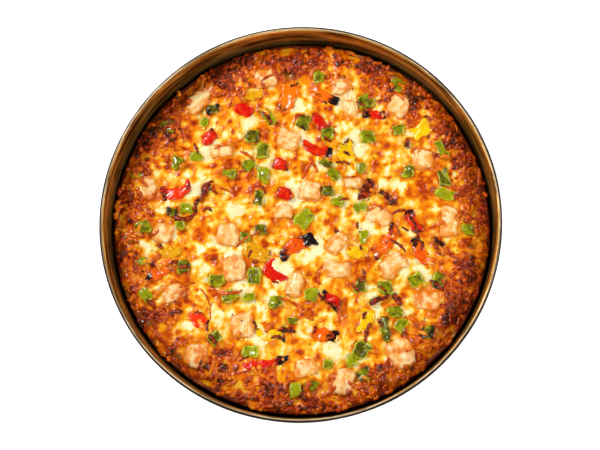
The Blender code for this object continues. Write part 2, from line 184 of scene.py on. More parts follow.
# Browned shreds that stand out: x, y, length, turn, bend, width
BROWNED_SHREDS = [
    (-41, -9, 24, 32, 1.5, 2.0), (-58, -50, 26, -8, -5.0, 2.8), (-8, -59, 20, -25, 2.0, 2.4),
    (39, 38, 14, 5, 1.0, 2.4), (-57, 109, 14, -70, 1.0, 2.2), (-28, 109, 12, -60, 0.5, 2.2),
    (-43, 108, 18, 28, 1.5, 2.0), (-87, -44, 13, 20, 1.0, 2.0), (-92, -53, 14, 55, 1.0, 2.2),
    (-73, -53, 16, -60, 1.5, 1.6), (-69, -64, 14, 85, 1.5, 1.3), (-61, 63, 13, 12, 1.0, 1.8),
    (-41, 56, 14, -35, 1.0, 2.6), (94, 59, 20, -12, 1.5, 1.3), (29, -68, 12, 90, 0.5, 3.0),
    (14, -33, 10, 40, 1.5, 1.4), (4, 44, 15, 60, 1.0, 2.8), (10, 47, 12, -60, 1.0, 2.6),
    (-58, 29, 12, -20, 1.0, 2.0), (-22, 118, 20, 15, 3.0, 2.0),
]
# Thin curls of charred skin: x, y, length, turn, bend, width
CHARRED_CURLS = [
    (74, -15, 16, -38, 2.0, 2.3), (27, -4, 4, 0, 0.5, 2.9), (43, 1, 6, 90, 0.5, 2.0),
    (47, -39, 12, 75, -3.0, 2.6), (86, 1, 20, -65, 2.0, 2.6), (75, 11, 12, 10, 2.0, 2.6),
    (-90, 8, 22, 5, -6.0, 3.8), (-81, 17, 11, 80, 1.0, 3.5), (-71, 34, 9, 35, 1.0, 2.6),
    (-67, 28, 7, -35, 0.5, 2.3), (-72, 14, 7, 0, 3.0, 2.6), (-105, 24, 7, -80, 0.5, 3.8),
    (-97, -27, 7, 20, 0.5, 2.9), (32, 50, 11, -8, 1.0, 2.3), (35, 57, 6, -30, 0.5, 2.2),
    (33, 21, 8, 10, 1.0, 2.0), (63, 25, 9, -60, 1.0, 2.6), (-35, -76, 8, -60, 0.5, 2.6),
    (-11, -80, 14, -5, 1.0, 4.1), (-17, -86, 11, -15, 3.0, 2.6), (-26, 86, 12, -50, 1.0, 2.6),
    (-69, 76, 5, 80, 0.5, 2.3), (-81, 62, 10, -70, 0.5, 2.3), (-29, 29, 8, -60, 0.5, 2.3),
    (41, -48, 9, -50, 1.0, 2.6), (62, -49, 10, -40, 1.0, 1.7), (73, -57, 11, -60, 1.0, 4.9),
    (50, -82, 16, 75, 1.5, 2.9), (60, -75, 8, -60, 0.5, 2.9), (19, -57, 20, -38, -2.0, 2.3),
    (103, -46, 14, -40, 1.0, 2.6), (104, -19, 10, -60, 0.5, 2.9), (-89, -31, 9, 0, 2.0, 2.9),
    (-96, -66, 12, 15, 1.0, 4.6), (-71, -76, 10, 85, 1.0, 2.0), (-67, -87, 9, -50, 0.5, 3.8),
    (-35, -27, 5, 10, 0.5, 3.2), (-103, 79, 9, 20, 1.0, 3.2), (46, 96, 8, -40, 1.0, 2.3),
]


def srgb(red, green, blue):
    """A linear colour from the 0 to 255 values that a picture shows."""
    channels = [value / 255.0 for value in (red, green, blue)]
    return tuple(c / 12.92 if c <= 0.04045 else ((c + 0.055) / 1.055) ** 2.4 for c in channels)


def colour_of(name, description, *shown):
    """A colour setting whose default is what a picture shows."""
    return FloatVectorProperty(name=name, description=description, default=srgb(*shown), subtype="COLOR",
                               size=3, min=0.0, max=1.0)


def length_of(name, description, default):
    """A setting in metres."""
    return FloatProperty(name=name, description=description, default=default, min=0.0, unit="LENGTH",
                         precision=5)


def number_of(name, description, default, least=1):
    """A whole number that a piece is made from."""
    return IntProperty(name=name, description=description, default=default, min=least)


def strength_of(name, description, default):
    """How strong a light or a glow is."""
    return FloatProperty(name=name, description=description, default=default, min=0.0)


class PizzaPanSettings(bpy.types.PropertyGroup):
    steps: number_of("Steps", "Segments round the pan", 192, 48)
    dents: length_of("Dents", "How far the wall wanders inwards", 0.35 * MM)
    bronze: colour_of("Bronze", "Seasoned steel of the wall", 196, 139, 36)
    streak: colour_of("Light streak", "Rubbed streaks round the wall", 236, 186, 96)
    # Dark streak: baked-on dark oil, and also the painted shade low on the wall
    soot_and_shade: colour_of("Dark streak", "Baked-on dark oil", 46, 20, 4)
    # Bare rim: a painted highlight along the top of the rim, partly bare worn metal
    bare_highlight: colour_of("Bare rim", "Worn metal on top of the rim", 255, 224, 176)
    # Outer rim: the pan's dark outer skin, and also painted shade on the outer edge of the rim
    outer: colour_of("Outer rim", "Dark outer edge of the rim", 44, 28, 20)


class PizzaDoughSettings(bpy.types.PropertyGroup):
    steps: number_of("Steps", "Segments round the dough", 240, 48)
    golden: colour_of("Golden", "Baked dough", 236, 172, 84)
    brown: colour_of("Brown", "Well baked dough", 140, 62, 16)


class PizzaCheeseSettings(bpy.types.PropertyGroup):
    cells: number_of("Cells", "Grid cells across the cheese", 300, 40)
    seed: number_of("Seed", "Seed of the blisters and shreds", 21, 0)
    blisters: number_of("Blisters", "Number of small baked blisters", 1900)
    spots: number_of("Spots", "Number of browned spots", 800)
    knobs: number_of("Knobs", "Number of dark knobs in the ring", 430)
    blister_rise: length_of("Blister rise", "Height of the largest small blister", 0.8 * MM)
    shreds: number_of("Melted shreds", "Shreds molten into the top", 800)
    shred_rise: length_of("Shred rise", "Height of a molten shred", 0.6 * MM)
    strands: number_of("Loose strands", "Browned strands on top", 1050)
    cream: colour_of("Cream", "Molten cheese that stayed pale", 255, 243, 186)
    butter: colour_of("Butter", "Molten cheese with oil", 252, 206, 62)
    gold: colour_of("Gold", "Lightly baked cheese", 246, 154, 6)
    orange: colour_of("Orange", "Baked cheese", 228, 106, 0)
    brown: colour_of("Brown", "Browned cheese", 178, 54, 0)
    umber: colour_of("Umber", "Dark browned cheese", 98, 30, 0)
    black: colour_of("Black", "Burnt cheese", 34, 10, 6)


class PizzaToppingSettings(bpy.types.PropertyGroup):
    chicken: colour_of("Chicken", "Roast chicken", 254, 222, 160)
    chicken_deep: colour_of("Chicken folds", "Deeper tone of the meat", 248, 178, 86)
    chicken_edge: colour_of("Chicken edges", "Golden edges of the meat", 236, 140, 20)
    red: colour_of("Red", "Red pepper", 216, 10, 0)
    scarlet: colour_of("Scarlet", "Light red pepper", 244, 60, 2)
    orange: colour_of("Orange", "Orange pepper", 238, 78, 0)
    amber: colour_of("Amber", "Light orange pepper", 255, 124, 0)
    ochre: colour_of("Ochre", "Deep yellow pepper", 226, 150, 8)
    yellow: colour_of("Yellow", "Yellow pepper", 255, 204, 0)
    moss: colour_of("Moss", "Dark green pepper", 80, 72, 0)
    leaf: colour_of("Leaf", "Green pepper", 156, 160, 0)
    lime: colour_of("Lime", "Light green pepper", 208, 206, 24)
    char: colour_of("Char", "Charred skin", 26, 9, 7)
    singed: colour_of("Singed", "Red skin that is about to char", 110, 22, 4)
    olive: colour_of("Olive", "Green skin that is about to char", 92, 72, 4)
    specks: number_of("Specks", "Number of pepper specks", 90)


class PizzaStageSettings(bpy.types.PropertyGroup):
    elevation: FloatProperty(name="Elevation", description="Camera above the horizon",
                             default=math.radians(79.0), subtype="ANGLE")
    side: FloatProperty(name="Side", description="Camera leans to the right", default=math.radians(2.4),
                        subtype="ANGLE")
    distance: length_of("Distance", "From the camera to the point it looks at", 1.6)
    forward: length_of("Forward", "How far in front of the rim's centre it looks", 3.1 * MM)
    lens: FloatProperty(name="Lens", description="Focal length", default=127.4, min=10.0, unit="CAMERA")
    floor: FloatProperty(name="Floor", description="How pale the floor is", default=0.93, min=0.0, max=1.0)
    glow: strength_of("Floor glow", "How much the floor lights itself", 0.78)
    key: strength_of("Key light", "Upper left lamp in watts", 7.1)
    fill: strength_of("Fill light", "Right lamp in watts", 5.0)
    front: strength_of("Front light", "Near lamp in watts", 2.8)
    low: strength_of("Low light", "Low left lamp in watts", 3.6)
    sky: strength_of("Sky", "Strength of the white surroundings", 0.13)


class Socket:
    """A shader value that can stand in a Python expression."""

    def __init__(self, finish, socket):
        self.finish = finish
        self.socket = socket

    def __add__(self, other):
        return self.finish.sum("ADD", self, other)

    def __radd__(self, other):
        return self.finish.sum("ADD", other, self)

    def __sub__(self, other):
        return self.finish.sum("SUBTRACT", self, other)

    def __rsub__(self, other):
        return self.finish.sum("SUBTRACT", other, self)

    def __mul__(self, other):
        if isinstance(other, tuple):
            multiply = {"operation": "MULTIPLY"}
            return self.finish.add("VectorMath", multiply, {0: self, 1: other}, "Vector")
        return self.finish.sum("MULTIPLY", self, other)

    def __rmul__(self, other):
        return self.finish.sum("MULTIPLY", other, self)


class Finish:
    """Builds the nodes of one material."""

    def __init__(self, name):
        self.material = bpy.data.materials.new(name)
        self.material.use_nodes = True
        self.tree = self.material.node_tree
        self.shader = self.tree.nodes["Principled BSDF"]
        self.place = self.add("TexCoord", output="Object")

    def add(self, kind, settings=None, sockets=None, output=0):
        """Adds a node, sets it up, feeds its sockets and gives one of its outputs."""
        node = self.tree.nodes.new(f"ShaderNode{kind}")
        for key, value in (settings or {}).items():
            if key == "stops":
                self.set_stops(node.color_ramp, value)
            else:
                setattr(node, key, value)
        for key, value in (sockets or {}).items():
            self.feed(node.inputs[key], value)
        return Socket(self, node.outputs[output])

    def set_stops(self, ramp, stops):
        """Gives a colour ramp its places and colours."""
        while len(ramp.elements) < len(stops):
            ramp.elements.new(1.0)
        for element, (position, colour) in zip(ramp.elements, stops):
            element.position = position
            element.color = (*colour, 1.0)

    def feed(self, target, value):
        """Links a socket's value or sets a plain one."""
        if isinstance(value, Socket):
            self.tree.links.new(value.socket, target)
        elif target.type == "RGBA" and len(value) == 3:
            target.default_value = (*value, 1.0)
        else:
            target.default_value = value

    def sum(self, operation, first, second):
        return self.add("Math", {"operation": operation}, {0: first, 1: second})

    def limit(self, value):
        """The value kept between 0 and 1."""
        return self.add("Clamp", None, {0: value})

    def steep(self, value, low, high):
        """A smooth change from 0 at low to 1 at high."""
        return self.add("MapRange", {"interpolation_type": "SMOOTHSTEP"}, {0: value, 1: low, 2: high})

    def mix(self, factor, first, second):
        """A blend of two colours."""
        return self.add("Mix", {"data_type": "RGBA"}, {0: factor, 6: first, 7: second}, 2)

    def over(self, colour, top, value, low, high, share=1.0):
        """The colour with a share of another over it where the value rises from low to high."""
        return self.mix(share * self.steep(value, low, high), colour, top)

    def painted(self, name):
        """A value that the mesh holds for each of its points."""
        return self.add("Attribute", {"attribute_name": name}, output="Fac")

    def grain(self):
        """Where a point lies along, across and up its topping, in metres."""
        return self.add("Attribute", {"attribute_name": "grain"}, output="Vector")

    def noise(self, scale, detail=3.0, roughness=0.5, vector=None):
        """Cloudy values round one half."""
        return self.add("TexNoise", None, {
            "Vector": vector or self.place, "Scale": scale, "Detail": detail, "Roughness": roughness,
        })

    def drawn_out(self, rates, detail, roughness=0.5, vector=None):
        """Cloudy values with a rate of their own in each direction."""
        spread = self.add("Mapping", None, {0: vector or self.place, 3: rates})
        return self.noise(1.0, detail, roughness, spread)

    def bump(self, height, depth, strength=1.0):
        """Relief whose depth is in metres, joined to the shader."""
        bent = self.add("Bump", None, {"Strength": strength, "Distance": depth, "Height": height})
        self.feed(self.shader.inputs["Normal"], bent)

    def set(self, **values):
        """Feeds the shader's own sockets, named with underscores."""
        for key, value in values.items():
            self.feed(self.shader.inputs[key.replace("_", " ")], value)


def soft_step(low, high, value):
    """A smooth change of an array's values from 0 at low to 1 at high."""
    part = np.clip((value - low) / (high - low), 0.0, 1.0)
    return part * part * (3.0 - 2.0 * part)


def noise_at(points, span, channel=0.0):
    """Smooth values from about -1 to 1 at points given in metres, other ones for each channel."""
    return np.array([noise.noise((x / span, y / span, channel)) for x, y in points])


def wall_radius(height):
    """Inner radius of the pan's tapered wall at a height above the table."""
    top_radius = RIM_RADIUS - BEAD_RADIUS * (1.0 + math.cos(WALL_TAPER))
    top_height = PAN_HEIGHT - BEAD_RADIUS * (1.0 - math.sin(WALL_TAPER))
    return top_radius - (top_height - height) * math.tan(WALL_TAPER)


# The recess that the cheese fills, and how far out blisters and strands are scattered
RECESS_RADIUS = wall_radius(DOUGH_RIM) - SIDE_SPACE - DOUGH_RIM_WIDTH
SCATTER_RADIUS = RECESS_RADIUS + 1.0 * MM


def ring_noise(x, y, channel):
    """A smooth value that wanders round the pizza and closes on itself, another for each channel."""
    direction = Vector((x, y, 0.0)).normalized()
    return noise.noise(direction * WOBBLE_RATE + Vector((0.0, 0.0, channel)))


def filling(x, y):
    """Height of the baked filling without its blisters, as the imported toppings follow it."""
    lumps = LUMP_HEIGHT * noise.noise(Vector((x, y, 0.0)) / LUMP_SPAN)
    past = max(0.0, (math.hypot(x, y) - DIP_START) / (RECESS_RADIUS - DIP_START))
    return CHEESE_TOP + lumps - EDGE_DIP * past ** 2


def edge_push(x, y):
    """How close a place is to the recess's side, from 0 at the dip's start to 1, and its push outwards."""
    share = min(1.0, (math.hypot(x, y) - DIP_START) / (RECESS_RADIUS - DIP_START))
    return share, EDGE_WOBBLE * share * ring_noise(x, y, 0.0)


def push_out(vert, push):
    """Moves a point away from the pizza's axis."""
    grown = 1.0 + push / math.hypot(vert.co.x, vert.co.y)
    vert.co.x *= grown
    vert.co.y *= grown


def arc(centre_radius, centre_height, radius, start, end, steps):
    """Points on an arc in the profile's plane, from angle start to angle end."""
    angles = [start + (end - start) * i / steps for i in range(steps + 1)]
    return [(centre_radius + radius * math.cos(a), centre_height + radius * math.sin(a)) for a in angles]


def turned(profile, steps):
    """A closed solid spun round +Z from an outline that runs from axis to axis."""
    bm = bmesh.new()
    verts = [bm.verts.new((radius, 0.0, height)) for radius, height in profile]
    edges = [bm.edges.new(pair) for pair in zip(verts, verts[1:])]
    bmesh.ops.spin(bm, geom=verts + edges, cent=(0.0, 0.0, 0.0), axis=(0.0, 0.0, 1.0), dvec=(0.0, 0.0, 0.0),
                   angle=2.0 * math.pi, steps=steps, use_merge=True)
    bmesh.ops.remove_doubles(bm, verts=bm.verts, dist=MERGE)
    bmesh.ops.recalc_face_normals(bm, faces=bm.faces)
    return bm


def new_piece(name, bm, material, slot, *nodes):
    """A smooth object from a bmesh, on the pizza's body, standing for the nodes it replaces."""
    mesh = bpy.data.meshes.new(name)
    bm.to_mesh(mesh)
    bm.free()
    mesh.shade_smooth()
    mesh.materials.append(material)
    obj = bpy.data.objects.new(name, mesh)
    bpy.context.collection.objects.link(obj)
    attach(obj, "root")
    if nodes:
        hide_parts(*nodes)
    return obj


def paint(mesh, name, values):
    """Stores one value, or one vector, for each point of a mesh."""
    values = np.asarray(values, dtype=np.float32)
    if values.ndim == 1:
        mesh.attributes.new(name, "FLOAT", "POINT").data.foreach_set("value", values)
    else:
        mesh.attributes.new(name, "FLOAT_VECTOR", "POINT").data.foreach_set("vector", values.ravel())


def mesh_points(mesh):
    """The points of a mesh as rows."""
    points = np.empty(len(mesh.vertices) * 3, dtype=np.float32)
    mesh.vertices.foreach_get("co", points)
    return points.reshape(-1, 3)


class Joined:
    """Many forms of one kind in one mesh, with the values painted on them."""

    def __init__(self):
        self.bm = bmesh.new()
        self.values = {}

    def add(self, form, **values):
        """Adds a form, which is freed, and the values for its points."""
        mesh = bpy.data.meshes.new("form")
        form.to_mesh(mesh)
        form.free()
        self.bm.from_mesh(mesh)
        for name, value in values.items():
            row = np.asarray(value, dtype=np.float32)
            if row.ndim == 0:
                row = np.full(len(mesh.vertices), row)
            self.values.setdefault(name, []).append(row)
        bpy.data.meshes.remove(mesh)

    def piece(self, name, material, slot, *nodes):
        """The joined object."""
        obj = new_piece(name, self.bm, material, slot, *nodes)
        for value_name, rows in self.values.items():
            paint(obj.data, value_name, np.concatenate(rows))
        return obj


class Topping:
    """One finely modelled topping: its form, its own directions and the values painted on it."""

    # Noise channels of the bends in x and y, and where a topping's outline begins and is full
    X_CHANNEL = 3.3
    Y_CHANNEL = 8.8
    OUTLINE = (0.55, 1.0)

    def __init__(self, bm, cuts, rounds):
        bmesh.ops.subdivide_edges(bm, edges=bm.edges, cuts=cuts, use_grid_fill=True)
        self.bm = bm
        before = self.points()
        for _ in range(rounds):
            bmesh.ops.smooth_vert(bm, verts=bm.verts, factor=0.5, use_axis_x=True, use_axis_y=True,
                                  use_axis_z=True)
        after = self.points()
        low, high = before.min(axis=0), before.max(axis=0)
        smooth_low, smooth_high = after.min(axis=0), after.max(axis=0)
        grown = low + (after - smooth_low) * (high - low) / (smooth_high - smooth_low)
        self.centre = 0.5 * (low + high)
        self.move_to(grown)
        flat = grown[:, :2] - self.centre[:2]
        spread = np.cov(flat.T)
        turn = 0.5 * math.atan2(2.0 * spread[0, 1], spread[0, 0] - spread[1, 1])
        along = flat @ (math.cos(turn), math.sin(turn))
        across = flat @ (-math.sin(turn), math.cos(turn))
        if math.cos(turn) < 0.0:
            along = -along
        self.along = along / np.abs(along).max()
        self.across = across / np.abs(across).max()
        self.rise = (grown[:, 2] - self.centre[2]) / (0.5 * (high[2] - low[2]))
        self.outline = soft_step(*self.OUTLINE, np.maximum(np.abs(self.along), np.abs(self.across)))
        self.grain = np.column_stack([along, across, grown[:, 2] - self.centre[2]])

    def points(self):
        return np.array([vert.co[:] for vert in self.bm.verts])

    def move_to(self, points):
        for vert, point in zip(self.bm.verts, points):
            vert.co = point

    def shape(self, bend, relief):
        """Gives a topping its uneven outline and surface."""
        self.wander(*bend)
        for row in relief:
            self.rough(*row)

    def wander(self, depth, span, swell):
        """Bends the outline sideways, the same at every height, and widens the piece a little."""
        self.bm.normal_update()
        for vert in self.bm.verts:
            x, y, _ = vert.co / span
            vert.co.x += depth * noise.noise((x, y, self.X_CHANNEL)) + swell * vert.normal.x
            vert.co.y += depth * noise.noise((x, y, self.Y_CHANNEL)) + swell * vert.normal.y

    def rough(self, depth, span, stretch):
        """Pushes the surface in and out along its normals by noise, drawn out along the piece."""
        self.bm.normal_update()
        for vert, (along, across, up) in zip(self.bm.verts, self.grain):
            where = (along / (span * stretch) + self.centre[0] / span,
                     across / span + self.centre[1] / span, up / span)
            vert.co += vert.normal * depth * noise.noise(where)


class Ground:
    """The height of the finished pieces that loose things lie on."""

    def __init__(self, context):
        self.toppings = self.trees(context, TOPPING_PIECES)
        self.base = self.trees(context, ("baked_cheese", "baked_dough"))

    @staticmethod
    def trees(context, names):
        """A search tree for each of some finished pieces."""
        depsgraph = context.evaluated_depsgraph_get()
        return [BVHTree.FromObject(bpy.data.objects[name], depsgraph) for name in names]

    @staticmethod
    def top(trees, x, y):
        """The highest point of some pieces at a place on the pizza."""
        hits = [tree.ray_cast(Vector((x, y, 1.0)), Vector((0.0, 0.0, -1.0)))[0] for tree in trees]
        return max((hit.z for hit in hits if hit), default=CHEESE_UNDERSIDE)

    def height(self, x, y):
        return self.top(self.base + self.toppings, x, y)

    def shows_topping(self, x, y):
        return self.top(self.toppings, x, y) > self.top(self.base, x, y)


def node_form(name):
    """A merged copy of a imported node's mesh."""
    bm = bmesh.new()
    bm.from_mesh(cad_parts[name].data)
    bmesh.ops.remove_doubles(bm, verts=bm.verts, dist=MERGE)
    return bm


def small_forms():
    """The small pieces in their places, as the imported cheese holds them, each with its finish."""
    rng = random.Random(SMALL_PIECES_SEED)
    for x, y, length, width, turn, finish in SMALL_PIECES:
        height = DICE_HEIGHT * rng.uniform(0.8, 1.1)
        bm = bmesh.new()
        bmesh.ops.create_cube(bm, size=1.0)
        for vert in bm.verts:
            slope = 1.0 - DICE_SLOPE * rng.random()
            vert.co.x *= slope * length * MM
            vert.co.y *= slope * width * MM
            vert.co.z *= height
        place = Matrix.Translation((x * MM, y * MM, 0.0)) @ Matrix.Rotation(math.radians(turn), 4, "Z")
        bmesh.ops.transform(bm, matrix=place, verts=bm.verts)
        for vert in bm.verts:
            vert.co.z += filling(vert.co.x, vert.co.y)
        yield bm, finish


class BakedTop:
    """How high and how brown the baked cheese is at a point."""

    # Smallest and largest reach of the round places, and where the dark knobs begin
    BLISTER_REACH = (0.8 * MM, 1.9 * MM)
    SPOT_REACH = (1.6 * MM, 3.9 * MM)
    KNOB_REACH = (1.8 * MM, 3.9 * MM)
    KNOB_START = 0.76
    KNOB_RISE = 1.3 * MM
    # Molten shreds
    SHRED_STEPS = (9, 24)
    SHRED_STEP = 0.8 * MM
    SHRED_WIDTH = 1.25 * MM
    SHRED_CURL = 0.16
    SHRED_WAVER = 0.14
    # Baking: its mean, then the span, strength and channel of each noise in it
    MEAN_HEAT = 0.35
    HEAT_NOISE = ((22.0 * MM, 0.20, 5.0), (9.0 * MM, 0.28, 6.0), (5.0 * MM, 0.30, 7.0),
                  (2.9 * MM, 0.12, 8.0))
    PALE_HEAT = -0.25
    BROWNED_HEAT = 0.24
    # Crumpled skin and fine grain: span and height
    CRUMPLE_SPAN = 5.5 * MM
    CRUMPLE_RISE = 0.5 * MM
    GRAIN_SPAN = 2.6 * MM
    GRAIN_RISE = 0.22 * MM

    def __init__(self, settings):
        self.settings = settings
        rng = random.Random(settings.seed)
        self.blisters = self.field(rng, settings.blisters, self.BLISTER_REACH)
        self.spots = self.field(rng, settings.spots, self.SPOT_REACH)
        self.knobs = self.field(rng, settings.knobs, self.KNOB_REACH, self.KNOB_START)
        routes = [self.route(rng) for _ in range(settings.shreds)]
        self.shreds = kdtree.KDTree(sum(len(route) for route in routes))
        for route in routes:
            for x, y in route:
                self.shreds.insert((x, y, 0.0), 0)
        self.shreds.balance()

    @staticmethod
    def scattered(rng, reach, inner=0.0):
        """A random place on the pizza, out of its middle where inner is a share of the reach."""
        radius = reach * math.sqrt(rng.uniform(inner ** 2, 1.0))
        angle = rng.uniform(0.0, 2.0 * math.pi)
        return radius * math.cos(angle), radius * math.sin(angle)

    def field(self, rng, count, sizes, inner=0.0):
        """Scattered round places: a search tree, the reach of each and its strength."""
        tree = kdtree.KDTree(count)
        reach = []
        strength = []
        for number in range(count):
            x, y = self.scattered(rng, SCATTER_RADIUS, inner)
            tree.insert((x, y, 0.0), number)
            reach.append(rng.uniform(*sizes))
            strength.append(rng.random())
        tree.balance()
        return tree, reach, strength

    def route(self, rng):
        """Points along a short curling shred."""
        x, y = self.scattered(rng, RECESS_RADIUS)
        heading = rng.uniform(0.0, 2.0 * math.pi)
        curl = rng.uniform(-self.SHRED_CURL, self.SHRED_CURL)
        points = []
        for _ in range(rng.randint(*self.SHRED_STEPS)):
            points.append((x, y))
            x += self.SHRED_STEP * math.cos(heading)
            y += self.SHRED_STEP * math.sin(heading)
            heading += curl + rng.uniform(-self.SHRED_WAVER, self.SHRED_WAVER)
        return points

    @staticmethod
    def domes(field, points, evenness):
        """Roundness of the nearest round places, from 0 between them to 1 on top of a strong one."""
        tree, reach, strength = field
        best = np.zeros(len(points))
        for index, (x, y) in enumerate(points):
            for _, number, distance in tree.find_n((x, y, 0.0), 2):
                force = evenness + (1.0 - evenness) * strength[number]
                best[index] = max(best[index], force * (1.0 - (distance / reach[number]) ** 2))
        return best

    def ridges(self, points):
        """Roundness of the nearest molten shred, from 0 beside it to 1 on top."""
        distances = np.array([self.shreds.find((x, y, 0.0))[2] for x, y in points])
        return np.clip(1.0 - (distances / self.SHRED_WIDTH) ** 2, 0.0, 1.0)

    def heat(self, points):
        """How strongly each place baked, from 0 for cream to 1 for the burnt edge."""
        radius = np.hypot(points[:, 0], points[:, 1])
        wander = np.array([ring_noise(x, y, 3.0) for x, y in points])
        reach = radius / RECESS_RADIUS + 0.05 * wander + 0.05 * noise_at(points, 9.0 * MM, 2.0)
        value = self.MEAN_HEAT
        for span, strength, channel in self.HEAT_NOISE:
            value = value + strength * noise_at(points, span, channel)
        value += 0.09 * soft_step(0.74, 0.90, reach) + 0.13 * soft_step(0.87, 0.97, reach)
        for places, amount in ((PALE_PLACES, self.PALE_HEAT), (BROWNED_PLACES, self.BROWNED_HEAT)):
            for x, y, span in places:
                apart = np.hypot(points[:, 0] - x * MM, points[:, 1] - y * MM) / (span * MM)
                value += amount * np.exp(-apart ** 2)
        return np.clip(value, 0.42 * soft_step(0.80, 0.94, reach), 1.0)

    def relief_and_colour(self, points):
        """Fine height in metres and browning at points given in metres."""
        domes = self.domes(self.blisters, points, 0.5)
        spots = self.domes(self.spots, points, 0.0)
        outwards = soft_step(0.74, 0.88, np.hypot(points[:, 0], points[:, 1]) / RECESS_RADIUS)
        knobs = outwards * self.domes(self.knobs, points, 0.6)
        ridges = self.ridges(points)
        crumpled = 1.0 - 2.2 * np.abs(noise_at(points, self.CRUMPLE_SPAN, 11.0))
        fine = noise_at(points, self.GRAIN_SPAN, 12.0)
        heat = self.heat(points)
        bake = soft_step(0.3, 0.75, heat)
        rise = self.settings.blister_rise * (domes * (0.4 + 0.6 * bake) + 0.6 * spots)
        rise += self.settings.shred_rise * ridges
        rise += self.CRUMPLE_RISE * bake * crumpled + self.GRAIN_RISE * fine + self.KNOB_RISE * knobs
        texture = 0.42 * np.maximum(domes, 0.8 * ridges) + 0.22 * crumpled + 0.16 * fine
        browned = heat + (texture - 0.25) * (0.24 + 0.36 * bake)
        browned = browned + 0.5 * spots * soft_step(0.14, 0.5, heat)
        browned += 0.34 * (knobs - 0.25 * outwards)
        return rise, np.clip(browned, 0.0, 0.70 + 0.23 * outwards), heat


def square_to_disc(u, v):
    """Carries a square's point to a disc and keeps a grid's cells nearly equal."""
    if abs(u) < 1e-9 and abs(v) < 1e-9:
        return 0.0, 0.0
    if abs(u) > abs(v):
        radius, angle = u, 0.25 * math.pi * v / u
    else:
        radius, angle = v, 0.5 * math.pi - 0.25 * math.pi * u / v
    return radius * math.cos(angle), radius * math.sin(angle)


def cheese_form(cells, radius):
    """A closed disc with a fine even grid on top, its side and its underside."""
    bm = bmesh.new()
    bmesh.ops.create_grid(bm, x_segments=cells, y_segments=cells, size=1.0)
    for vert in bm.verts:
        x, y = square_to_disc(vert.co.x, vert.co.y)
        vert.co = (x * radius, y * radius, CHEESE_TOP)
    border = [edge for edge in bm.edges if edge.is_boundary]
    side = bmesh.ops.extrude_edge_only(bm, edges=border)["geom"]
    lower = [item for item in side if isinstance(item, bmesh.types.BMVert)]
    for vert in lower:
        vert.co.z = CHEESE_UNDERSIDE
    rim = [item for item in side if isinstance(item, bmesh.types.BMEdge)]
    floor = bmesh.ops.extrude_edge_only(bm, edges=rim)["geom"]
    centre = [item for item in floor if isinstance(item, bmesh.types.BMVert)]
    bmesh.ops.pointmerge(bm, verts=centre, merge_co=(0.0, 0.0, CHEESE_UNDERSIDE))
    bmesh.ops.recalc_face_normals(bm, faces=bm.faces)
    return bm


# Noise rates of the steel in x, y and z, which draw its marks out round the wall
STREAK_RATES = (14.0, 14.0, 380.0)
BAND_RATES = (22.0, 22.0, 120.0)
SCRATCH_RATES = (40.0, 40.0, 1300.0)
SCUFF_RATES = (60.0, 60.0, 1500.0)

# Noise rates along, across and up a topping
FIBRE_RATES = (110.0, 600.0, 400.0)
WRINKLE_RATES = (220.0, 700.0, 700.0)


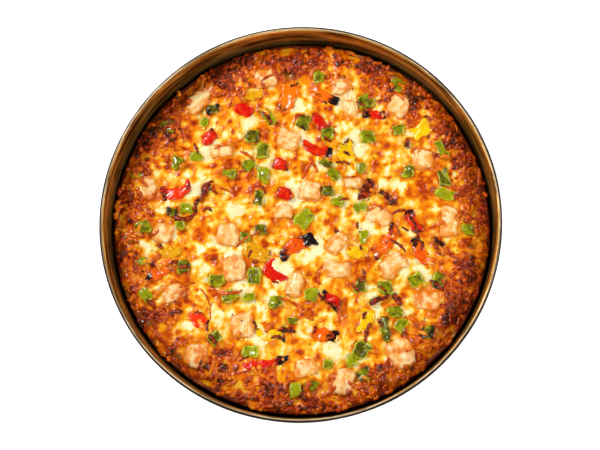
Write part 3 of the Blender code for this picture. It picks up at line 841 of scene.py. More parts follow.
def steel_finish(settings):
    """Seasoned steel, streaked round the wall, with a painted highlight along the top of the rim, partly
    bare worn metal; painted shade on the rim's outer edge and low on the wall; dark outside.
    """
    finish = Finish("seasoned_steel")
    height = finish.add("SeparateXYZ", None, {0: finish.place}, 2)
    flat = finish.place * (1.0, 1.0, 0.0)
    radius = finish.add("VectorMath", {"operation": "LENGTH"}, {0: flat}, "Value")
    streaks = finish.drawn_out(STREAK_RATES, 4.0, 0.65)
    bands = finish.drawn_out(BAND_RATES, 2.0)
    scratches = finish.drawn_out(SCRATCH_RATES, 2.0)
    scuffs = finish.drawn_out(SCUFF_RATES, 3.0, 0.7)
    blotches = finish.noise(60.0, 5.0, 0.6)
    patchy = finish.steep(finish.noise(26.0, 3.0), 0.38, 0.6)
    # The top of the rim carries a painted highlight, partly bare worn metal; its outer edge carries painted
    # shade, and so does the wall low down, towards the pizza's edge
    uneven_height = height + 1.2 * MM * (blotches - 0.5)
    worn_highlight = finish.steep(uneven_height, PAN_HEIGHT - 0.45 * MM, PAN_HEIGHT - 0.1 * MM)
    # Painted shade on the outer half of the rolled rim
    uneven_radius = radius + 0.8 * MM * (blotches - 0.5)
    rim_edge_shade = finish.steep(uneven_radius, RIM_RADIUS - 1.9 * MM, RIM_RADIUS - 1.5 * MM)
    # Painted shade: darker low on the wall, towards the pizza's edge
    deep = 1.0 - finish.steep(height + 10.0 * MM * (streaks - 0.5), 25.0 * MM, 38.0 * MM)
    # All of the marks show on the wall's inner skin and few on its outer one
    skin = radius - math.tan(WALL_TAPER) * height
    inner_skin = wall_radius(0.0)
    inside = 1.0 - 0.88 * finish.steep(skin, inner_skin + 0.3 * SHEET, inner_skin + 0.7 * SHEET)
    light = inside * finish.steep(streaks + 0.6 * (bands - 0.5), 0.49, 0.60)
    sooty = finish.steep(1.0 - streaks - 0.6 * (bands - 0.5), 0.49, 0.60)
    # Baked-on dark streaks, with the painted shade low on the wall
    dark = inside * finish.limit(sooty + 0.6 * deep)
    colour = finish.mix(0.9 * light, settings.bronze, settings.streak)
    colour = finish.mix(0.9 * dark, colour, settings.soot_and_shade)
    colour = finish.over(colour, settings.soot_and_shade, blotches, 0.5, 0.75, 0.5 * inside)
    colour = finish.mix(0.95 * (1.0 - inside), colour, settings.outer)
    colour = finish.over(colour, settings.streak, scratches, 0.56, 0.66, 0.5 * inside)
    # Painted highlight along the top of the rim, partly bare worn metal, broken up in patches
    colour = finish.mix(worn_highlight * (0.4 + 0.6 * patchy), colour, settings.bare_highlight)
    # Painted shade on the rim's outer edge
    colour = finish.mix(rim_edge_shade, colour, settings.outer)
    finish.set(Base_Color=colour, Metallic=0.85, Roughness=finish.limit(0.30 + 0.3 * blotches))
    finish.bump(inside * streaks + 0.4 * blotches + 0.5 * scuffs, 0.35 * MM, 0.6)
    return finish.material


def dough_finish(settings, cheese):
    """Baked dough, golden with brown places."""
    finish = Finish("baked_dough")
    mottled = finish.noise(220.0, 4.0)
    pores = finish.noise(900.0, 2.0)
    uneven = finish.painted("browned") + 0.8 * (mottled - 0.5)
    colour = finish.over(settings.golden, settings.brown, uneven, 0.2, 0.6)
    colour = finish.over(colour, cheese.umber, uneven, 0.6, 0.9)
    finish.set(Base_Color=colour, Roughness=0.5, Specular_IOR_Level=0.25)
    finish.bump(mottled + 0.5 * pores, 0.5 * MM, 0.6)
    return finish.material


def cheese_finish(name, settings, gloss):
    """Baked cheese, whose painted browning runs from cream to burnt."""
    finish = Finish(name)
    browned = finish.painted("browned")
    oily = finish.painted("oily")
    mottled = finish.noise(360.0, 3.0, 0.6)
    grains = finish.noise(1100.0, 2.0)
    tone = finish.limit(browned + 0.22 * (mottled - 0.5) + 0.10 * (grains - 0.5))
    stops = [
        (0.08, settings.cream), (0.23, settings.butter), (0.36, settings.gold), (0.52, settings.orange),
        (0.70, settings.brown), (0.87, settings.umber), (1.0, settings.black),
    ]
    colour = finish.add("ValToRGB", {"stops": stops}, {0: tone})
    colour = finish.mix(0.45 * oily, colour, settings.gold)
    finish.set(Base_Color=colour, Roughness=finish.limit(0.14 + 0.22 * mottled), Specular_IOR_Level=0.25)
    finish.set(Coat_Weight=finish.limit(gloss + 0.3 * oily), Coat_Roughness=0.1)
    finish.set(Subsurface_Weight=0.10, Subsurface_Radius=(0.8, 0.5, 0.25), Subsurface_Scale=1.2 * MM)
    finish.bump(mottled + 0.4 * grains, 0.45 * MM, 0.7)
    return finish.material


def chicken_finish(settings, cheese):
    """Roast chicken with fibres, golden edges and browned places."""
    finish = Finish("roast_chicken")
    fibres = finish.drawn_out(FIBRE_RATES, 3.0, vector=finish.grain())
    mottled = finish.noise(240.0, 3.0)
    patches = finish.noise(110.0, 2.0)
    meat = 0.5 * fibres + 0.5 * mottled
    golden = 0.9 * finish.painted("edge") + 1.3 * (mottled - 0.5) + 3.0 * (patches - 0.5)
    browned = finish.painted("browned") + 0.8 * (mottled - 0.5)
    colour = finish.over(settings.chicken, settings.chicken_deep, meat, 0.42, 0.60)
    colour = finish.over(colour, settings.chicken_edge, golden, 0.05, 1.0, 0.9)
    colour = finish.over(colour, cheese.orange, browned, 0.45, 0.85, 0.8)
    finish.set(Base_Color=colour, Roughness=finish.limit(0.2 + 0.25 * mottled), Specular_IOR_Level=0.25)
    finish.set(Coat_Weight=0.2, Coat_Roughness=0.1)
    finish.set(Subsurface_Weight=0.08, Subsurface_Radius=(0.9, 0.5, 0.3), Subsurface_Scale=1.2 * MM)
    finish.bump(fibres + 0.5 * mottled, 0.35 * MM, 0.6)
    return finish.material


def pepper_finish(name, deep, light, singed, settings, pale_edge=None):
    """Roast pepper: waxy skin, paler edges on the green pieces and charred places."""
    finish = Finish(name)
    mottled = finish.noise(380.0, 3.0)
    wrinkles = finish.drawn_out(WRINKLE_RATES, 3.0, vector=finish.grain())
    shades = finish.noise(170.0, 2.0)
    blots = finish.noise(220.0, 4.0)
    tone = finish.painted("tone") + 1.6 * (mottled - 0.5) + 1.0 * (wrinkles - 0.5) + 2.2 * (shades - 0.5)
    burning = finish.painted("charred") + 1.3 * (blots - 0.5) + 0.9 * (wrinkles - 0.5)
    colour = finish.mix(finish.limit(tone), deep, light)
    if pale_edge:
        edge = finish.painted("edge") + 0.9 * (wrinkles - 0.5)
        colour = finish.over(colour, pale_edge, edge, 0.3, 0.85, 0.7)
    colour = finish.over(colour, singed, burning, 0.30, 0.62, 0.8)
    colour = finish.over(colour, settings.char, burning, 0.52, 0.82)
    finish.set(Base_Color=colour, Roughness=finish.limit(0.12 + 0.2 * mottled), Specular_IOR_Level=0.3)
    finish.set(Coat_Weight=0.35, Coat_Roughness=0.08)
    finish.bump(wrinkles + 0.5 * mottled, 0.4 * MM, 0.6)
    return finish.material


def char_finish(name, settings, cheese, warmth=0.0):
    """Charred skin, black with dark red-brown places, and with more of them the warmer it is."""
    finish = Finish(name)
    mottled = finish.noise(400.0, 4.0) + warmth
    colour = finish.over(settings.char, cheese.umber, mottled, 0.40, 0.55)
    colour = finish.over(colour, cheese.brown, mottled, 0.52, 0.68)
    finish.set(Base_Color=colour, Roughness=finish.limit(0.15 + 0.3 * mottled), Specular_IOR_Level=0.3)
    finish.bump(mottled, 0.5 * MM, 0.8)
    return finish.material


def floor_finish(settings):
    """Plain pale floor, a little bright by itself as a lit table is."""
    finish = Finish("pale_floor")
    pale = (settings.floor,) * 3
    finish.set(Base_Color=pale, Roughness=0.9, Specular_IOR_Level=0.1)
    finish.set(Emission_Color=pale, Emission_Strength=settings.glow)
    return finish.material


class PIZZA_OT_pan(bpy.types.Operator):
    """Turns the seasoned steel pan with its rolled rim"""
    bl_idname = "pizza.pan"
    bl_label = "Pan"

    CORNER_STEPS = 6
    WALL_BANDS = 14
    BEAD_STEPS = 14
    DENT_RATES = (22.0, 22.0, 40.0)

    def execute(self, context):
        settings = context.scene.pizza_pan
        straight_down = -0.5 * math.pi
        corner_height = SHEET + FLOOR_CORNER
        corner_radius = wall_radius(corner_height) - FLOOR_CORNER / math.cos(WALL_TAPER)
        rim_end = -WALL_TAPER - math.acos(-(BEAD_RADIUS - SHEET) / BEAD_RADIUS)
        rim_height = PAN_HEIGHT - BEAD_RADIUS
        profile = [(0.0, SHEET)]
        corner = (corner_radius, corner_height)
        profile += arc(*corner, FLOOR_CORNER, straight_down, -WALL_TAPER, self.CORNER_STEPS)
        for band in range(2, self.WALL_BANDS - 1):
            height = corner_height + (rim_height - corner_height) * band / self.WALL_BANDS
            profile.append((wall_radius(height), height))
        bead = (RIM_RADIUS - BEAD_RADIUS, rim_height)
        profile += arc(*bead, BEAD_RADIUS, math.pi - WALL_TAPER, rim_end, self.BEAD_STEPS)
        profile += arc(*corner, FLOOR_CORNER + SHEET, -WALL_TAPER, straight_down, self.CORNER_STEPS)
        profile.append((0.0, 0.0))
        bm = turned(profile, settings.steps)
        for vert in bm.verts:
            if vert.co.z > corner_height:
                place = [value * rate for value, rate in zip(vert.co, self.DENT_RATES)]
                push_out(vert, -settings.dents * max(0.0, 0.5 + 0.5 * noise.noise(place)))
        new_piece("steel_pan", bm, steel_finish(settings), "pan_steel", "pan")
        return {"FINISHED"}


class PIZZA_OT_dough(bpy.types.Operator):
    """Turns the dough base with its low uneven rim"""
    bl_idname = "pizza.dough"
    bl_label = "Dough"

    CROWN_STEPS = 8
    RIM_BANDS = 4
    SIDE_BANDS = 10
    CORNER_STEPS = 5
    # The uneven top of the rim: how far down it reaches, its bumps and its browned spots, and how far below
    # the top the side darkens, partly pan-fried brown and partly painted shade
    UNEVEN_DEPTH = 2.0 * MM
    BUMP_RATE = 260.0
    BUMP_HEIGHT = 0.8 * MM
    SPOT_RATE = 180.0
    BROWNED_AND_SHADED_DEPTH = 2.5 * MM

    def execute(self, context):
        settings = context.scene.pizza_dough
        inner = RECESS_RADIUS
        outer = inner + DOUGH_RIM_WIDTH
        corner_height = DOUGH_UNDERSIDE + DOUGH_CORNER
        corner_radius = wall_radius(corner_height) - SIDE_SPACE - DOUGH_CORNER / math.cos(WALL_TAPER)
        low_rim = DOUGH_RIM - DOUGH_RIM_CROWN
        profile = [(0.0, DOUGH_FLOOR), (inner, DOUGH_FLOOR)]
        for band in range(1, self.RIM_BANDS + 1):
            profile.append((inner, DOUGH_FLOOR + (low_rim - DOUGH_FLOOR) * band / self.RIM_BANDS))
        half_rim = 0.5 * DOUGH_RIM_WIDTH
        crown = arc(inner + half_rim, 0.0, half_rim, 0.92 * math.pi, 0.08 * math.pi, self.CROWN_STEPS)
        flatness = DOUGH_RIM_CROWN / half_rim
        profile += [(radius, low_rim + flatness * height) for radius, height in crown]
        for band in range(1, self.SIDE_BANDS):
            height = low_rim + (corner_height - low_rim) * band / self.SIDE_BANDS
            profile.append((outer - (low_rim - height) * math.tan(WALL_TAPER), height))
        corner = (corner_radius, corner_height)
        profile += arc(*corner, DOUGH_CORNER, -WALL_TAPER, -0.5 * math.pi, self.CORNER_STEPS)
        profile.append((0.0, DOUGH_UNDERSIDE))
        bm = turned(profile, settings.steps)
        browned = []
        for vert in bm.verts:
            x, y, z = vert.co
            if math.hypot(x, y) > DIP_START and z > DOUGH_FLOOR - MERGE:
                _, push = edge_push(x, y)
                push_out(vert, push)
            if z > low_rim - self.UNEVEN_DEPTH:
                bumps = noise.noise((x * self.BUMP_RATE, y * self.BUMP_RATE, 0.0))
                vert.co.z += RIM_WAVE * ring_noise(x, y, 7.0) + self.BUMP_HEIGHT * bumps
            spots = noise.noise((x * self.SPOT_RATE, y * self.SPOT_RATE, 4.0))
            rim_heat = 0.45 + 0.9 * ring_noise(x, y, 21.0) + 0.35 * spots
            # The side below the rim's top is darker: pan-fried browning, and painted shade from the gap
            # beside the wall
            depth = min(1.0, max(0.0, (DOUGH_RIM - z) / self.BROWNED_AND_SHADED_DEPTH))
            browned.append(min(1.0, max(0.0, (0.45 + rim_heat) * (1.0 - depth) + 0.8 * depth)))
        finish = dough_finish(settings, context.scene.pizza_cheese)
        obj = new_piece("baked_dough", bm, finish, "dough", "crust")
        paint(obj.data, "browned", browned)
        return {"FINISHED"}


class PIZZA_OT_chicken(bpy.types.Operator):
    """Models the chunks of roast chicken"""
    bl_idname = "pizza.chicken"
    bl_label = "Chicken"

    CUTS = 5
    SMALL_CUTS = 11
    ROUNDS = 3
    BROWNING = (-0.15, 0.30)
    PATCH_RATE = 150.0

    def execute(self, context):
        joined = Joined()
        forms = [(node_form(name), self.CUTS) for name in CHICKEN_NODES]
        forms += [(bm, self.SMALL_CUTS) for bm, finish in small_forms() if finish == "chicken"]
        for number, (bm, cuts) in enumerate(forms):
            chunk = Topping(bm, cuts, self.ROUNDS)
            chunk.shape(CHICKEN_BEND, CHICKEN_RELIEF)
            outwards = float(soft_step(0.6, 0.95, np.hypot(*chunk.centre[:2]) / RECESS_RADIUS))
            hot = random.Random(number).uniform(*self.BROWNING) + 0.10 * outwards
            browned = []
            for (x, y, _), up in zip(chunk.points(), chunk.rise):
                patch = noise.noise((x * self.PATCH_RATE, y * self.PATCH_RATE, number))
                browned.append(hot + 0.55 * patch + 0.25 * max(0.0, up))
            joined.add(chunk.bm, edge=chunk.outline, browned=browned, grain=chunk.grain)
        finish = chicken_finish(context.scene.pizza_toppings, context.scene.pizza_cheese)
        joined.piece("roast_chicken", finish, "chicken", *CHICKEN_NODES)
        return {"FINISHED"}


class PIZZA_OT_peppers(bpy.types.Operator):
    """Models the strips of red, orange and yellow pepper and the green pieces"""
    bl_idname = "pizza.peppers"
    bl_label = "Peppers"

    CUTS = 5
    ROUNDS = 3
    SMALL_CUTS = 7
    SMALL_ROUNDS = 4
    HOLLOW = 0.9 * MM
    # Small red bits: how light, how charred at the end, and how charred every other one is at its start
    RED_BIT = (0.2, 0.3)
    CHARRED_BIT = 0.4

    def execute(self, context):
        settings = context.scene.pizza_toppings
        kinds = (
            ("red_pepper", RED_PAINT, settings.red, settings.scarlet, settings.singed, None),
            ("orange_pepper", ORANGE_PAINT, settings.orange, settings.amber, settings.singed, None),
            ("yellow_pepper", YELLOW_PAINT, settings.ochre, settings.yellow, settings.olive, None),
            ("green_pepper", GREEN_PAINT, settings.moss, settings.leaf, settings.olive, settings.lime),
        )
        for kind, rows, deep, light, singed, pale_edge in kinds:
            nodes = [f"{kind}_{number}" for number in range(1, len(rows) + 1)]
            joined = Joined()
            for name, (tone, start_char, end_char) in zip(nodes, rows):
                strip = Topping(node_form(name), self.CUTS, self.ROUNDS)
                self.curl(strip)
                self.add_strip(joined, strip, tone, start_char, end_char)
            for number, (bm, finish) in enumerate(small_forms()):
                if kind == "green_pepper" and finish in GREEN_FINISHES:
                    tone, start_char = GREEN_FINISHES[finish]
                    end_char = start_char
                elif kind == "red_pepper" and finish == "red":
                    tone, end_char = self.RED_BIT
                    start_char = self.CHARRED_BIT * (number % 2)
                else:
                    bm.free()
                    continue
                small = Topping(bm, self.SMALL_CUTS, self.SMALL_ROUNDS)
                self.add_strip(joined, small, tone, start_char, end_char)
            finish = pepper_finish(f"roast_{kind}", deep, light, singed, settings, pale_edge)
            joined.piece(f"{kind}_pieces", finish, kind, *nodes)
        return {"FINISHED"}

    def curl(self, strip):
        """Lowers the middle of a strip's top, so that its long edges stand up."""
        for vert, across, rise in zip(strip.bm.verts, strip.across, strip.rise):
            if rise > 0.0:
                vert.co.z -= self.HOLLOW * max(0.0, 1.0 - (1.5 * across) ** 2)

    @staticmethod
    def add_strip(joined, strip, tone, start_char, end_char):
        """Wrinkles a piece of pepper and adds it with its tone and its charred ends."""
        strip.shape(PEPPER_BEND, PEPPER_RELIEF)
        middle = 0.15 * (start_char + end_char)
        ends = np.where(strip.along < 0.0, start_char, end_char)
        ends = ends * soft_step(0.1, 0.95, np.abs(strip.along))
        joined.add(strip.bm, tone=np.full(len(ends), tone), charred=middle + ends, edge=strip.outline,
                   grain=strip.grain)


class PIZZA_OT_charred_strips(bpy.types.Operator):
    """Models the thin charred strips"""
    bl_idname = "pizza.charred_strips"
    bl_label = "Charred Strips"

    CUTS = 9
    ROUNDS = 3

    def execute(self, context):
        joined = Joined()
        for bm, finish in small_forms():
            if finish == "charred":
                strip = Topping(bm, self.CUTS, self.ROUNDS)
                strip.shape(CHARRED_BEND, CHARRED_RELIEF)
                joined.add(strip.bm, edge=strip.outline)
            else:
                bm.free()
        scene = context.scene
        finish = char_finish("charred_skin", scene.pizza_toppings, scene.pizza_cheese, warmth=0.03)
        joined.piece("charred_strips", finish, "red_pepper")
        return {"FINISHED"}


class PIZZA_OT_cheese(bpy.types.Operator):
    """Models the baked cheese round the toppings"""
    bl_idname = "pizza.cheese"
    bl_label = "Cheese"

    # How far the cheese runs out over the dough's rim, and how far its underside lies back from there
    EDGE_REACH = 2.2 * MM
    EDGE_STEP = 3.2 * MM
    # Its ragged edge, and how the edge droops
    RAGGED_REACH = 2.2 * MM
    RAGGED_SPAN = 9.0 * MM
    DROOP = 0.5 * MM
    DROOP_WIDTH = 2.0 * MM
    # Where it climbs the toppings, and where oil stands on it
    TOUCH_WIDTH = 3.0 * MM
    CLIMB_SPAN = 5.0 * MM
    OIL_SPAN = 14.0 * MM
    GLOSS = 0.16

    def execute(self, context):
        settings = context.scene.pizza_cheese
        edge_radius = RECESS_RADIUS + self.EDGE_REACH
        bm = cheese_form(settings.cells, edge_radius)
        points = np.array([vert.co[:2] for vert in bm.verts])
        upper = np.array([vert.co.z > CHEESE_UNDERSIDE + MERGE for vert in bm.verts])
        rise, browned, heat = BakedTop(settings).relief_and_colour(points)
        touch = np.clip(1.0 - self.outline_distances(points) / self.TOUCH_WIDTH, 0.0, 1.0)
        climb = touch * (0.1 + 1.2 * soft_step(0.05, 0.45, noise_at(points, self.CLIMB_SPAN, 41.0)))
        for index, vert in enumerate(bm.verts):
            x, y = points[index]
            radius = math.hypot(x, y)
            if upper[index]:
                blisters = BLISTER_HEIGHT * noise.noise(Vector((x, y, BLISTER_SPAN)) / BLISTER_SPAN)
                outermost = max(0.0, (radius - edge_radius + self.DROOP_WIDTH) / self.DROOP_WIDTH)
                droop = self.DROOP * outermost ** 2
                vert.co.z = filling(x, y) + blisters + rise[index] + climb[index] * MM - droop
            if radius > DIP_START:
                share, push = edge_push(x, y)
                if upper[index]:
                    ragged = noise.noise(Vector((x, y, self.RAGGED_SPAN)) / self.RAGGED_SPAN)
                    push += self.RAGGED_REACH * share * ragged
                else:
                    push -= self.EDGE_STEP
                push_out(vert, push)
        browned = np.clip(browned + 0.10 * touch * (heat > 0.25), 0.0, 1.0)
        pools = soft_step(0.1, 0.5, noise_at(points, self.OIL_SPAN, 31.0))
        oily = np.clip(0.7 * touch ** 2 + 0.5 * pools, 0.0, 1.0)
        finish = cheese_finish("baked_cheese", settings, self.GLOSS)
        obj = new_piece("baked_cheese", bm, finish, "cheese", "cheese")
        paint(obj.data, "browned", browned)
        paint(obj.data, "oily", oily)
        return {"FINISHED"}

    @staticmethod
    def outline_distances(points):
        """How far each point lies from the nearest outline of a topping."""
        rows = []
        for name in TOPPING_PIECES:
            mesh = bpy.data.objects[name].data
            edge = np.empty(len(mesh.vertices), dtype=np.float32)
            mesh.attributes["edge"].data.foreach_get("value", edge)
            rows.append(mesh_points(mesh)[edge > 0.5])
        rows = np.concatenate(rows)
        tree = kdtree.KDTree(len(rows))
        for index, (x, y, _) in enumerate(rows):
            tree.insert((x, y, 0.0), index)
        tree.balance()
        return np.array([tree.find((x, y, 0.0))[2] for x, y in points])


class Strands:
    """Thin tubes that follow routes over the finished pieces."""

    SIDES = 6
    BANDS = 8
    # How much slimmer the ends are, how flat a tube lies and how far its middle is raised
    SLIMMING = 0.7
    FLATNESS = 0.8
    RAISE = 0.1
    # Height of the knobs along a tube and how closely they follow one another
    KNOB_HEIGHT = 0.28
    KNOB_RATE = 17.0
    # How much a random route wavers, and how far out it may run
    WAVER = 0.25
    KEPT_RADIUS = RECESS_RADIUS + 2.4 * MM

    def __init__(self, rng, ground):
        self.rng = rng
        self.ground = ground
        self.routes = []
        self.tube = self.tube_form()
        self.places = np.array([vert.co[:] for vert in self.tube.verts])

    def tube_form(self):
        """A closed tube of one unit along +X, slimmer towards its ends."""
        bm = bmesh.new()
        bmesh.ops.create_cone(bm, cap_ends=True, segments=self.SIDES, radius1=1.0, radius2=1.0,
                              depth=1.0)
        turn = Matrix.Rotation(math.radians(90.0), 3, "Y")
        bmesh.ops.rotate(bm, verts=bm.verts, cent=(0.0, 0.0, 0.0), matrix=turn)
        bmesh.ops.translate(bm, verts=bm.verts, vec=(0.5, 0.0, 0.0))
        long_edges = [edge for edge in bm.edges if abs(edge.verts[0].co.x - edge.verts[1].co.x) > 0.5]
        bmesh.ops.subdivide_edges(bm, edges=long_edges, cuts=self.BANDS - 1)
        for vert in bm.verts:
            end = abs(2.0 * vert.co.x - 1.0)
            slim = 1.0 - self.SLIMMING * max(0.0, (end - 0.5) / 0.5) ** 2
            vert.co.y *= slim
            vert.co.z *= slim
        return bm

    def follow_row(self, x, y, length, turn, bend, width):
        """Adds a bent route from a table."""
        angle = math.radians(turn)
        points = []
        for band in range(self.BANDS + 1):
            part = 2.0 * band / self.BANDS - 1.0
            along, across = 0.5 * length * part, bend * (1.0 / 3.0 - part ** 2)
            points.append(((x + along * math.cos(angle) - across * math.sin(angle)) * MM,
                           (y + along * math.sin(angle) + across * math.cos(angle)) * MM))
        self.routes.append((points, 0.5 * width * MM))

    def curl_from(self, x, y, lengths, bend, widths):
        """Adds a random curling route from a place, kept on the pizza."""
        length = self.rng.uniform(*lengths)
        heading = self.rng.uniform(0.0, 2.0 * math.pi)
        curl = self.rng.uniform(-bend, bend)
        points = []
        for _ in range(self.BANDS + 1):
            keep = min(1.0, self.KEPT_RADIUS / math.hypot(x, y))
            x, y = x * keep, y * keep
            points.append((x, y))
            x += length / self.BANDS * math.cos(heading)
            y += length / self.BANDS * math.sin(heading)
            heading += curl + self.rng.uniform(-self.WAVER, self.WAVER)
        self.routes.append((points, self.rng.uniform(*widths)))

    def points(self):
        """All points of the routes, one after another."""
        return np.array([point for points, _ in self.routes for point in points])

    def piece(self, name, material, slot):
        """The object with a tube for each route."""
        mesh = bpy.data.meshes.new("tube")
        self.tube.to_mesh(mesh)
        self.tube.free()
        bm = bmesh.new()
        for _ in self.routes:
            bm.from_mesh(mesh)
        bpy.data.meshes.remove(mesh)
        obj = new_piece(name, bm, material, slot)
        rows = []
        for points, width in self.routes:
            height = np.array([self.ground.height(x, y) for x, y in points]) + self.RAISE * width
            rows.append(self.along_route(np.array(points), height, width))
        obj.data.vertices.foreach_set("co", np.concatenate(rows).astype(np.float32).ravel())
        obj.data.update()
        return obj

    def along_route(self, points, height, width):
        """The tube's points carried to a route on the pizza."""
        part = self.places[:, 0] * self.BANDS
        low = np.clip(np.floor(part + 1e-6).astype(int), 0, self.BANDS - 1)
        share = (part - low)[:, None]
        centre = points[low] * (1.0 - share) + points[low + 1] * share
        level = height[low] * (1.0 - share[:, 0]) + height[low + 1] * share[:, 0]
        slope = np.gradient(points, axis=0)
        slope /= np.linalg.norm(slope, axis=1)[:, None] + 1e-12
        direction = slope[low] * (1.0 - share) + slope[low + 1] * share
        side = np.column_stack([-direction[:, 1], direction[:, 0]])
        start = 900.0 * points[0, 0]
        knobs = 1.0 + self.KNOB_HEIGHT * np.sin(self.KNOB_RATE * self.places[:, 0] + start)
        flat = centre + side * (self.places[:, 1] * width * knobs)[:, None]
        return np.column_stack([flat, level + self.places[:, 2] * width * self.FLATNESS * knobs])


class PIZZA_OT_strands(bpy.types.Operator):
    """Lays the loose browned strands of cheese on the top"""
    bl_idname = "pizza.strands"
    bl_label = "Strands"

    TRIES = 8
    LENGTHS = (4.5 * MM, 11.0 * MM)
    BEND = 0.35
    WIDTHS = (0.9 * MM, 2.1 * MM)
    GLOSS = 0.34
    TONE_SPREAD = 0.12
    LEAST_TONE_BY_HAND = 0.60

    def execute(self, context):
        settings = context.scene.pizza_cheese
        rng = random.Random(settings.seed + 1)
        top = BakedTop(settings)
        ground = Ground(context)
        strands = Strands(rng, ground)
        for row in BROWNED_SHREDS:
            strands.follow_row(*row)
        number = self.TRIES * settings.strands
        tries = np.array([top.scattered(rng, SCATTER_RADIUS) for _ in range(number)])
        for (x, y), heat in zip(tries, top.heat(tries)):
            chance = self.share_of_strands(math.hypot(x, y)) * max(0.0, heat - 0.42) ** 0.8
            chosen = rng.random() < chance and len(strands.routes) < settings.strands
            if chosen and not ground.shows_topping(x, y):
                strands.curl_from(x, y, self.LENGTHS, self.BEND, self.WIDTHS)
        _, browned, _ = top.relief_and_colour(strands.points())
        browned = browned.reshape(len(strands.routes), -1).mean(axis=1)
        spread = (-self.TONE_SPREAD, self.TONE_SPREAD)
        own = np.array([0.21 + 0.7 * value + rng.uniform(*spread) for value in browned])
        by_hand = len(BROWNED_SHREDS)
        own[:by_hand] = np.maximum(own[:by_hand], self.LEAST_TONE_BY_HAND)
        finish = cheese_finish("browned_strands", settings, self.GLOSS)
        obj = strands.piece("cheese_strands", finish, "cheese")
        waves = np.sin(9.0 * strands.places[:, 0] + np.arange(len(own))[:, None])
        tones = np.clip((own[:, None] + 0.06 * waves).ravel(), 0.0, 1.0)
        paint(obj.data, "browned", tones)
        paint(obj.data, "oily", 0.0 * tones)
        return {"FINISHED"}

    @staticmethod
    def share_of_strands(radius):
        """Few strands in the middle of the pizza and many in its browned ring."""
        return 0.12 + 1.2 * float(soft_step(0.72, 0.90, radius / RECESS_RADIUS))


class PIZZA_OT_charred_curls(bpy.types.Operator):
    """Lays thin curls of charred skin on the peppers and beside them"""
    bl_idname = "pizza.charred_curls"
    bl_label = "Charred Curls"

    SEED = 5
    LENGTHS = (4.5 * MM, 9.0 * MM)
    BEND = 0.35
    WIDTHS = (0.7 * MM, 1.4 * MM)

    def execute(self, context):
        settings = context.scene.pizza_toppings
        rng = random.Random(self.SEED)
        strands = Strands(rng, Ground(context))
        for row in CHARRED_CURLS:
            strands.follow_row(*row)
        for name in STRIP_NODES:
            low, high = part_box(name)
            x, y = rng.uniform(low.x, high.x), rng.uniform(low.y, high.y)
            strands.curl_from(x, y, self.LENGTHS, self.BEND, self.WIDTHS)
        finish = char_finish("charred_curls", settings, context.scene.pizza_cheese, warmth=0.08)
        strands.piece("charred_curls", finish, "red_pepper")
        return {"FINISHED"}


class PIZZA_OT_seasoning(bpy.types.Operator):
    """Scatters specks of black pepper"""
    bl_idname = "pizza.seasoning"
    bl_label = "Seasoning"

    SEED = 77
    SIZES = (0.3 * MM, 0.75 * MM)
    UNEVENNESS = (0.7, 1.2)
    REACH = 0.93 * RECESS_RADIUS

    def execute(self, context):
        settings = context.scene.pizza_toppings
        rng = random.Random(self.SEED)
        joined = Joined()
        ground = Ground(context)
        for _ in range(settings.specks):
            x, y = BakedTop.scattered(rng, self.REACH)
            bm = bmesh.new()
            bmesh.ops.create_icosphere(bm, subdivisions=1, radius=rng.uniform(*self.SIZES))
            for vert in bm.verts:
                vert.co *= rng.uniform(*self.UNEVENNESS)
            spin = Matrix.Rotation(rng.uniform(0.0, math.pi), 4, "Z")
            place = Matrix.Translation((x, y, ground.height(x, y)))
            bmesh.ops.transform(bm, matrix=place @ spin, verts=bm.verts)
            joined.add(bm)
        finish = char_finish("black_pepper", settings, context.scene.pizza_cheese)
        joined.piece("pepper_specks", finish, "red_pepper")
        return {"FINISHED"}


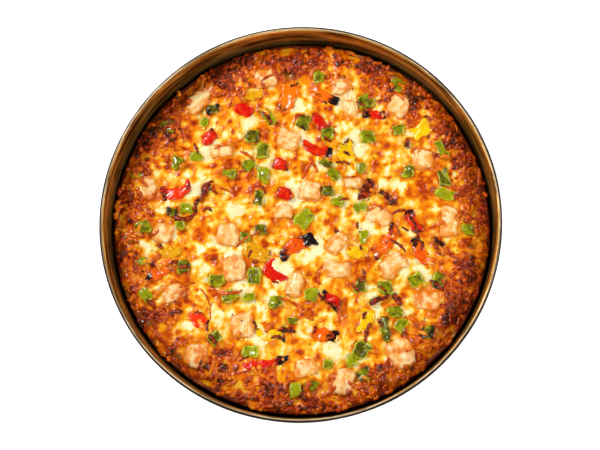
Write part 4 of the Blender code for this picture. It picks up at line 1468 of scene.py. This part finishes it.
class PIZZA_OT_stage(bpy.types.Operator):
    """Sets up the floor, the soft lights and the camera"""
    bl_idname = "pizza.stage"
    bl_label = "Stage"

    # Place and size of each lamp, whose strength is the setting of the same name
    LAMPS = {
        "key": ((-0.60, 0.52, 0.78), 0.2),
        "fill": ((0.80, 0.05, 0.62), 0.3),
        "front": ((0.15, -0.80, 0.62), 0.3),
        "low": ((-0.88, 0.0, 0.42), 0.3),
    }
    FLOOR_GAP = 0.05 * MM

    def execute(self, context):
        settings = context.scene.pizza_stage
        self.lay_floor(settings)
        for name, (place, size) in self.LAMPS.items():
            self.lamp(name, place, size, getattr(settings, name))
        world = bpy.data.worlds.new("surroundings")
        world.use_nodes = True
        background = world.node_tree.nodes["Background"]
        background.inputs["Color"].default_value = (1.0, 1.0, 1.0, 1.0)
        background.inputs["Strength"].default_value = settings.sky
        context.scene.world = world
        context.scene.view_settings.view_transform = "Standard"
        self.camera(context, settings)
        return {"FINISHED"}

    def lay_floor(self, settings):
        """A wide pale floor just under the pan."""
        bm = bmesh.new()
        bmesh.ops.create_grid(bm, x_segments=1, y_segments=1, size=4.0)
        bmesh.ops.translate(bm, verts=bm.verts, vec=(0.0, 0.0, -self.FLOOR_GAP))
        mesh = bpy.data.meshes.new("floor")
        bm.to_mesh(mesh)
        bm.free()
        mesh.materials.append(floor_finish(settings))
        obj = bpy.data.objects.new("floor", mesh)
        bpy.context.collection.objects.link(obj)

    @staticmethod
    def lamp(name, place, size, watts):
        """A soft square lamp that faces the pizza."""
        light = bpy.data.lights.new(name, "AREA")
        light.size = size
        light.energy = watts
        obj = bpy.data.objects.new(name, light)
        obj.location = place
        obj.rotation_euler = (-Vector(place)).to_track_quat("-Z", "Y").to_euler()
        bpy.context.collection.objects.link(obj)

    @staticmethod
    def camera(context, settings):
        """A camera that looks down at a point just in front of the rim's centre."""
        camera = bpy.data.cameras.new("camera")
        camera.lens = settings.lens
        camera.clip_start = 0.01
        obj = bpy.data.objects.new("camera", camera)
        up = math.sin(settings.elevation)
        level = math.cos(settings.elevation)
        back = Vector((up * math.sin(settings.side), -level, up * math.cos(settings.side)))
        obj.location = Vector((0.0, -settings.forward, PAN_HEIGHT)) + settings.distance * back
        obj.rotation_euler = (0.5 * math.pi - settings.elevation, settings.side, 0.0)
        bpy.context.collection.objects.link(obj)
        context.scene.camera = obj


class PIZZA_PT_panel(bpy.types.Panel):
    bl_label = "Deep Dish Pizza"
    bl_idname = "PIZZA_PT_panel"
    bl_space_type = "VIEW_3D"
    bl_region_type = "UI"
    bl_category = "Pizza"

    def draw(self, context):
        for operator in OPERATORS:
            self.layout.operator(operator.bl_idname)
        for name in SETTINGS:
            box = self.layout.box()
            group = getattr(context.scene, name)
            for key in group.__annotations__:
                box.prop(group, key)


OPERATORS = (
    PIZZA_OT_pan, PIZZA_OT_dough, PIZZA_OT_chicken, PIZZA_OT_peppers, PIZZA_OT_charred_strips,
    PIZZA_OT_cheese, PIZZA_OT_strands, PIZZA_OT_charred_curls, PIZZA_OT_seasoning, PIZZA_OT_stage,
)
SETTINGS = {
    "pizza_pan": PizzaPanSettings,
    "pizza_dough": PizzaDoughSettings,
    "pizza_cheese": PizzaCheeseSettings,
    "pizza_toppings": PizzaToppingSettings,
    "pizza_stage": PizzaStageSettings,
}


def register():
    for name, group in SETTINGS.items():
        bpy.utils.register_class(group)
        setattr(bpy.types.Scene, name, PointerProperty(type=group))
    for cls in (*OPERATORS, PIZZA_PT_panel):
        bpy.utils.register_class(cls)


def unregister():
    for cls in (PIZZA_PT_panel, *reversed(OPERATORS)):
        bpy.utils.unregister_class(cls)
    for name, group in SETTINGS.items():
        delattr(bpy.types.Scene, name)
        bpy.utils.unregister_class(group)


def main():
    register()
    bpy.ops.pizza.pan()
    bpy.ops.pizza.dough()
    bpy.ops.pizza.chicken()
    bpy.ops.pizza.peppers()
    bpy.ops.pizza.charred_strips()
    bpy.ops.pizza.cheese()
    bpy.ops.pizza.strands()
    bpy.ops.pizza.charred_curls()
    bpy.ops.pizza.seasoning()
    bpy.ops.pizza.stage()


if __name__ == "__main__":
    main()
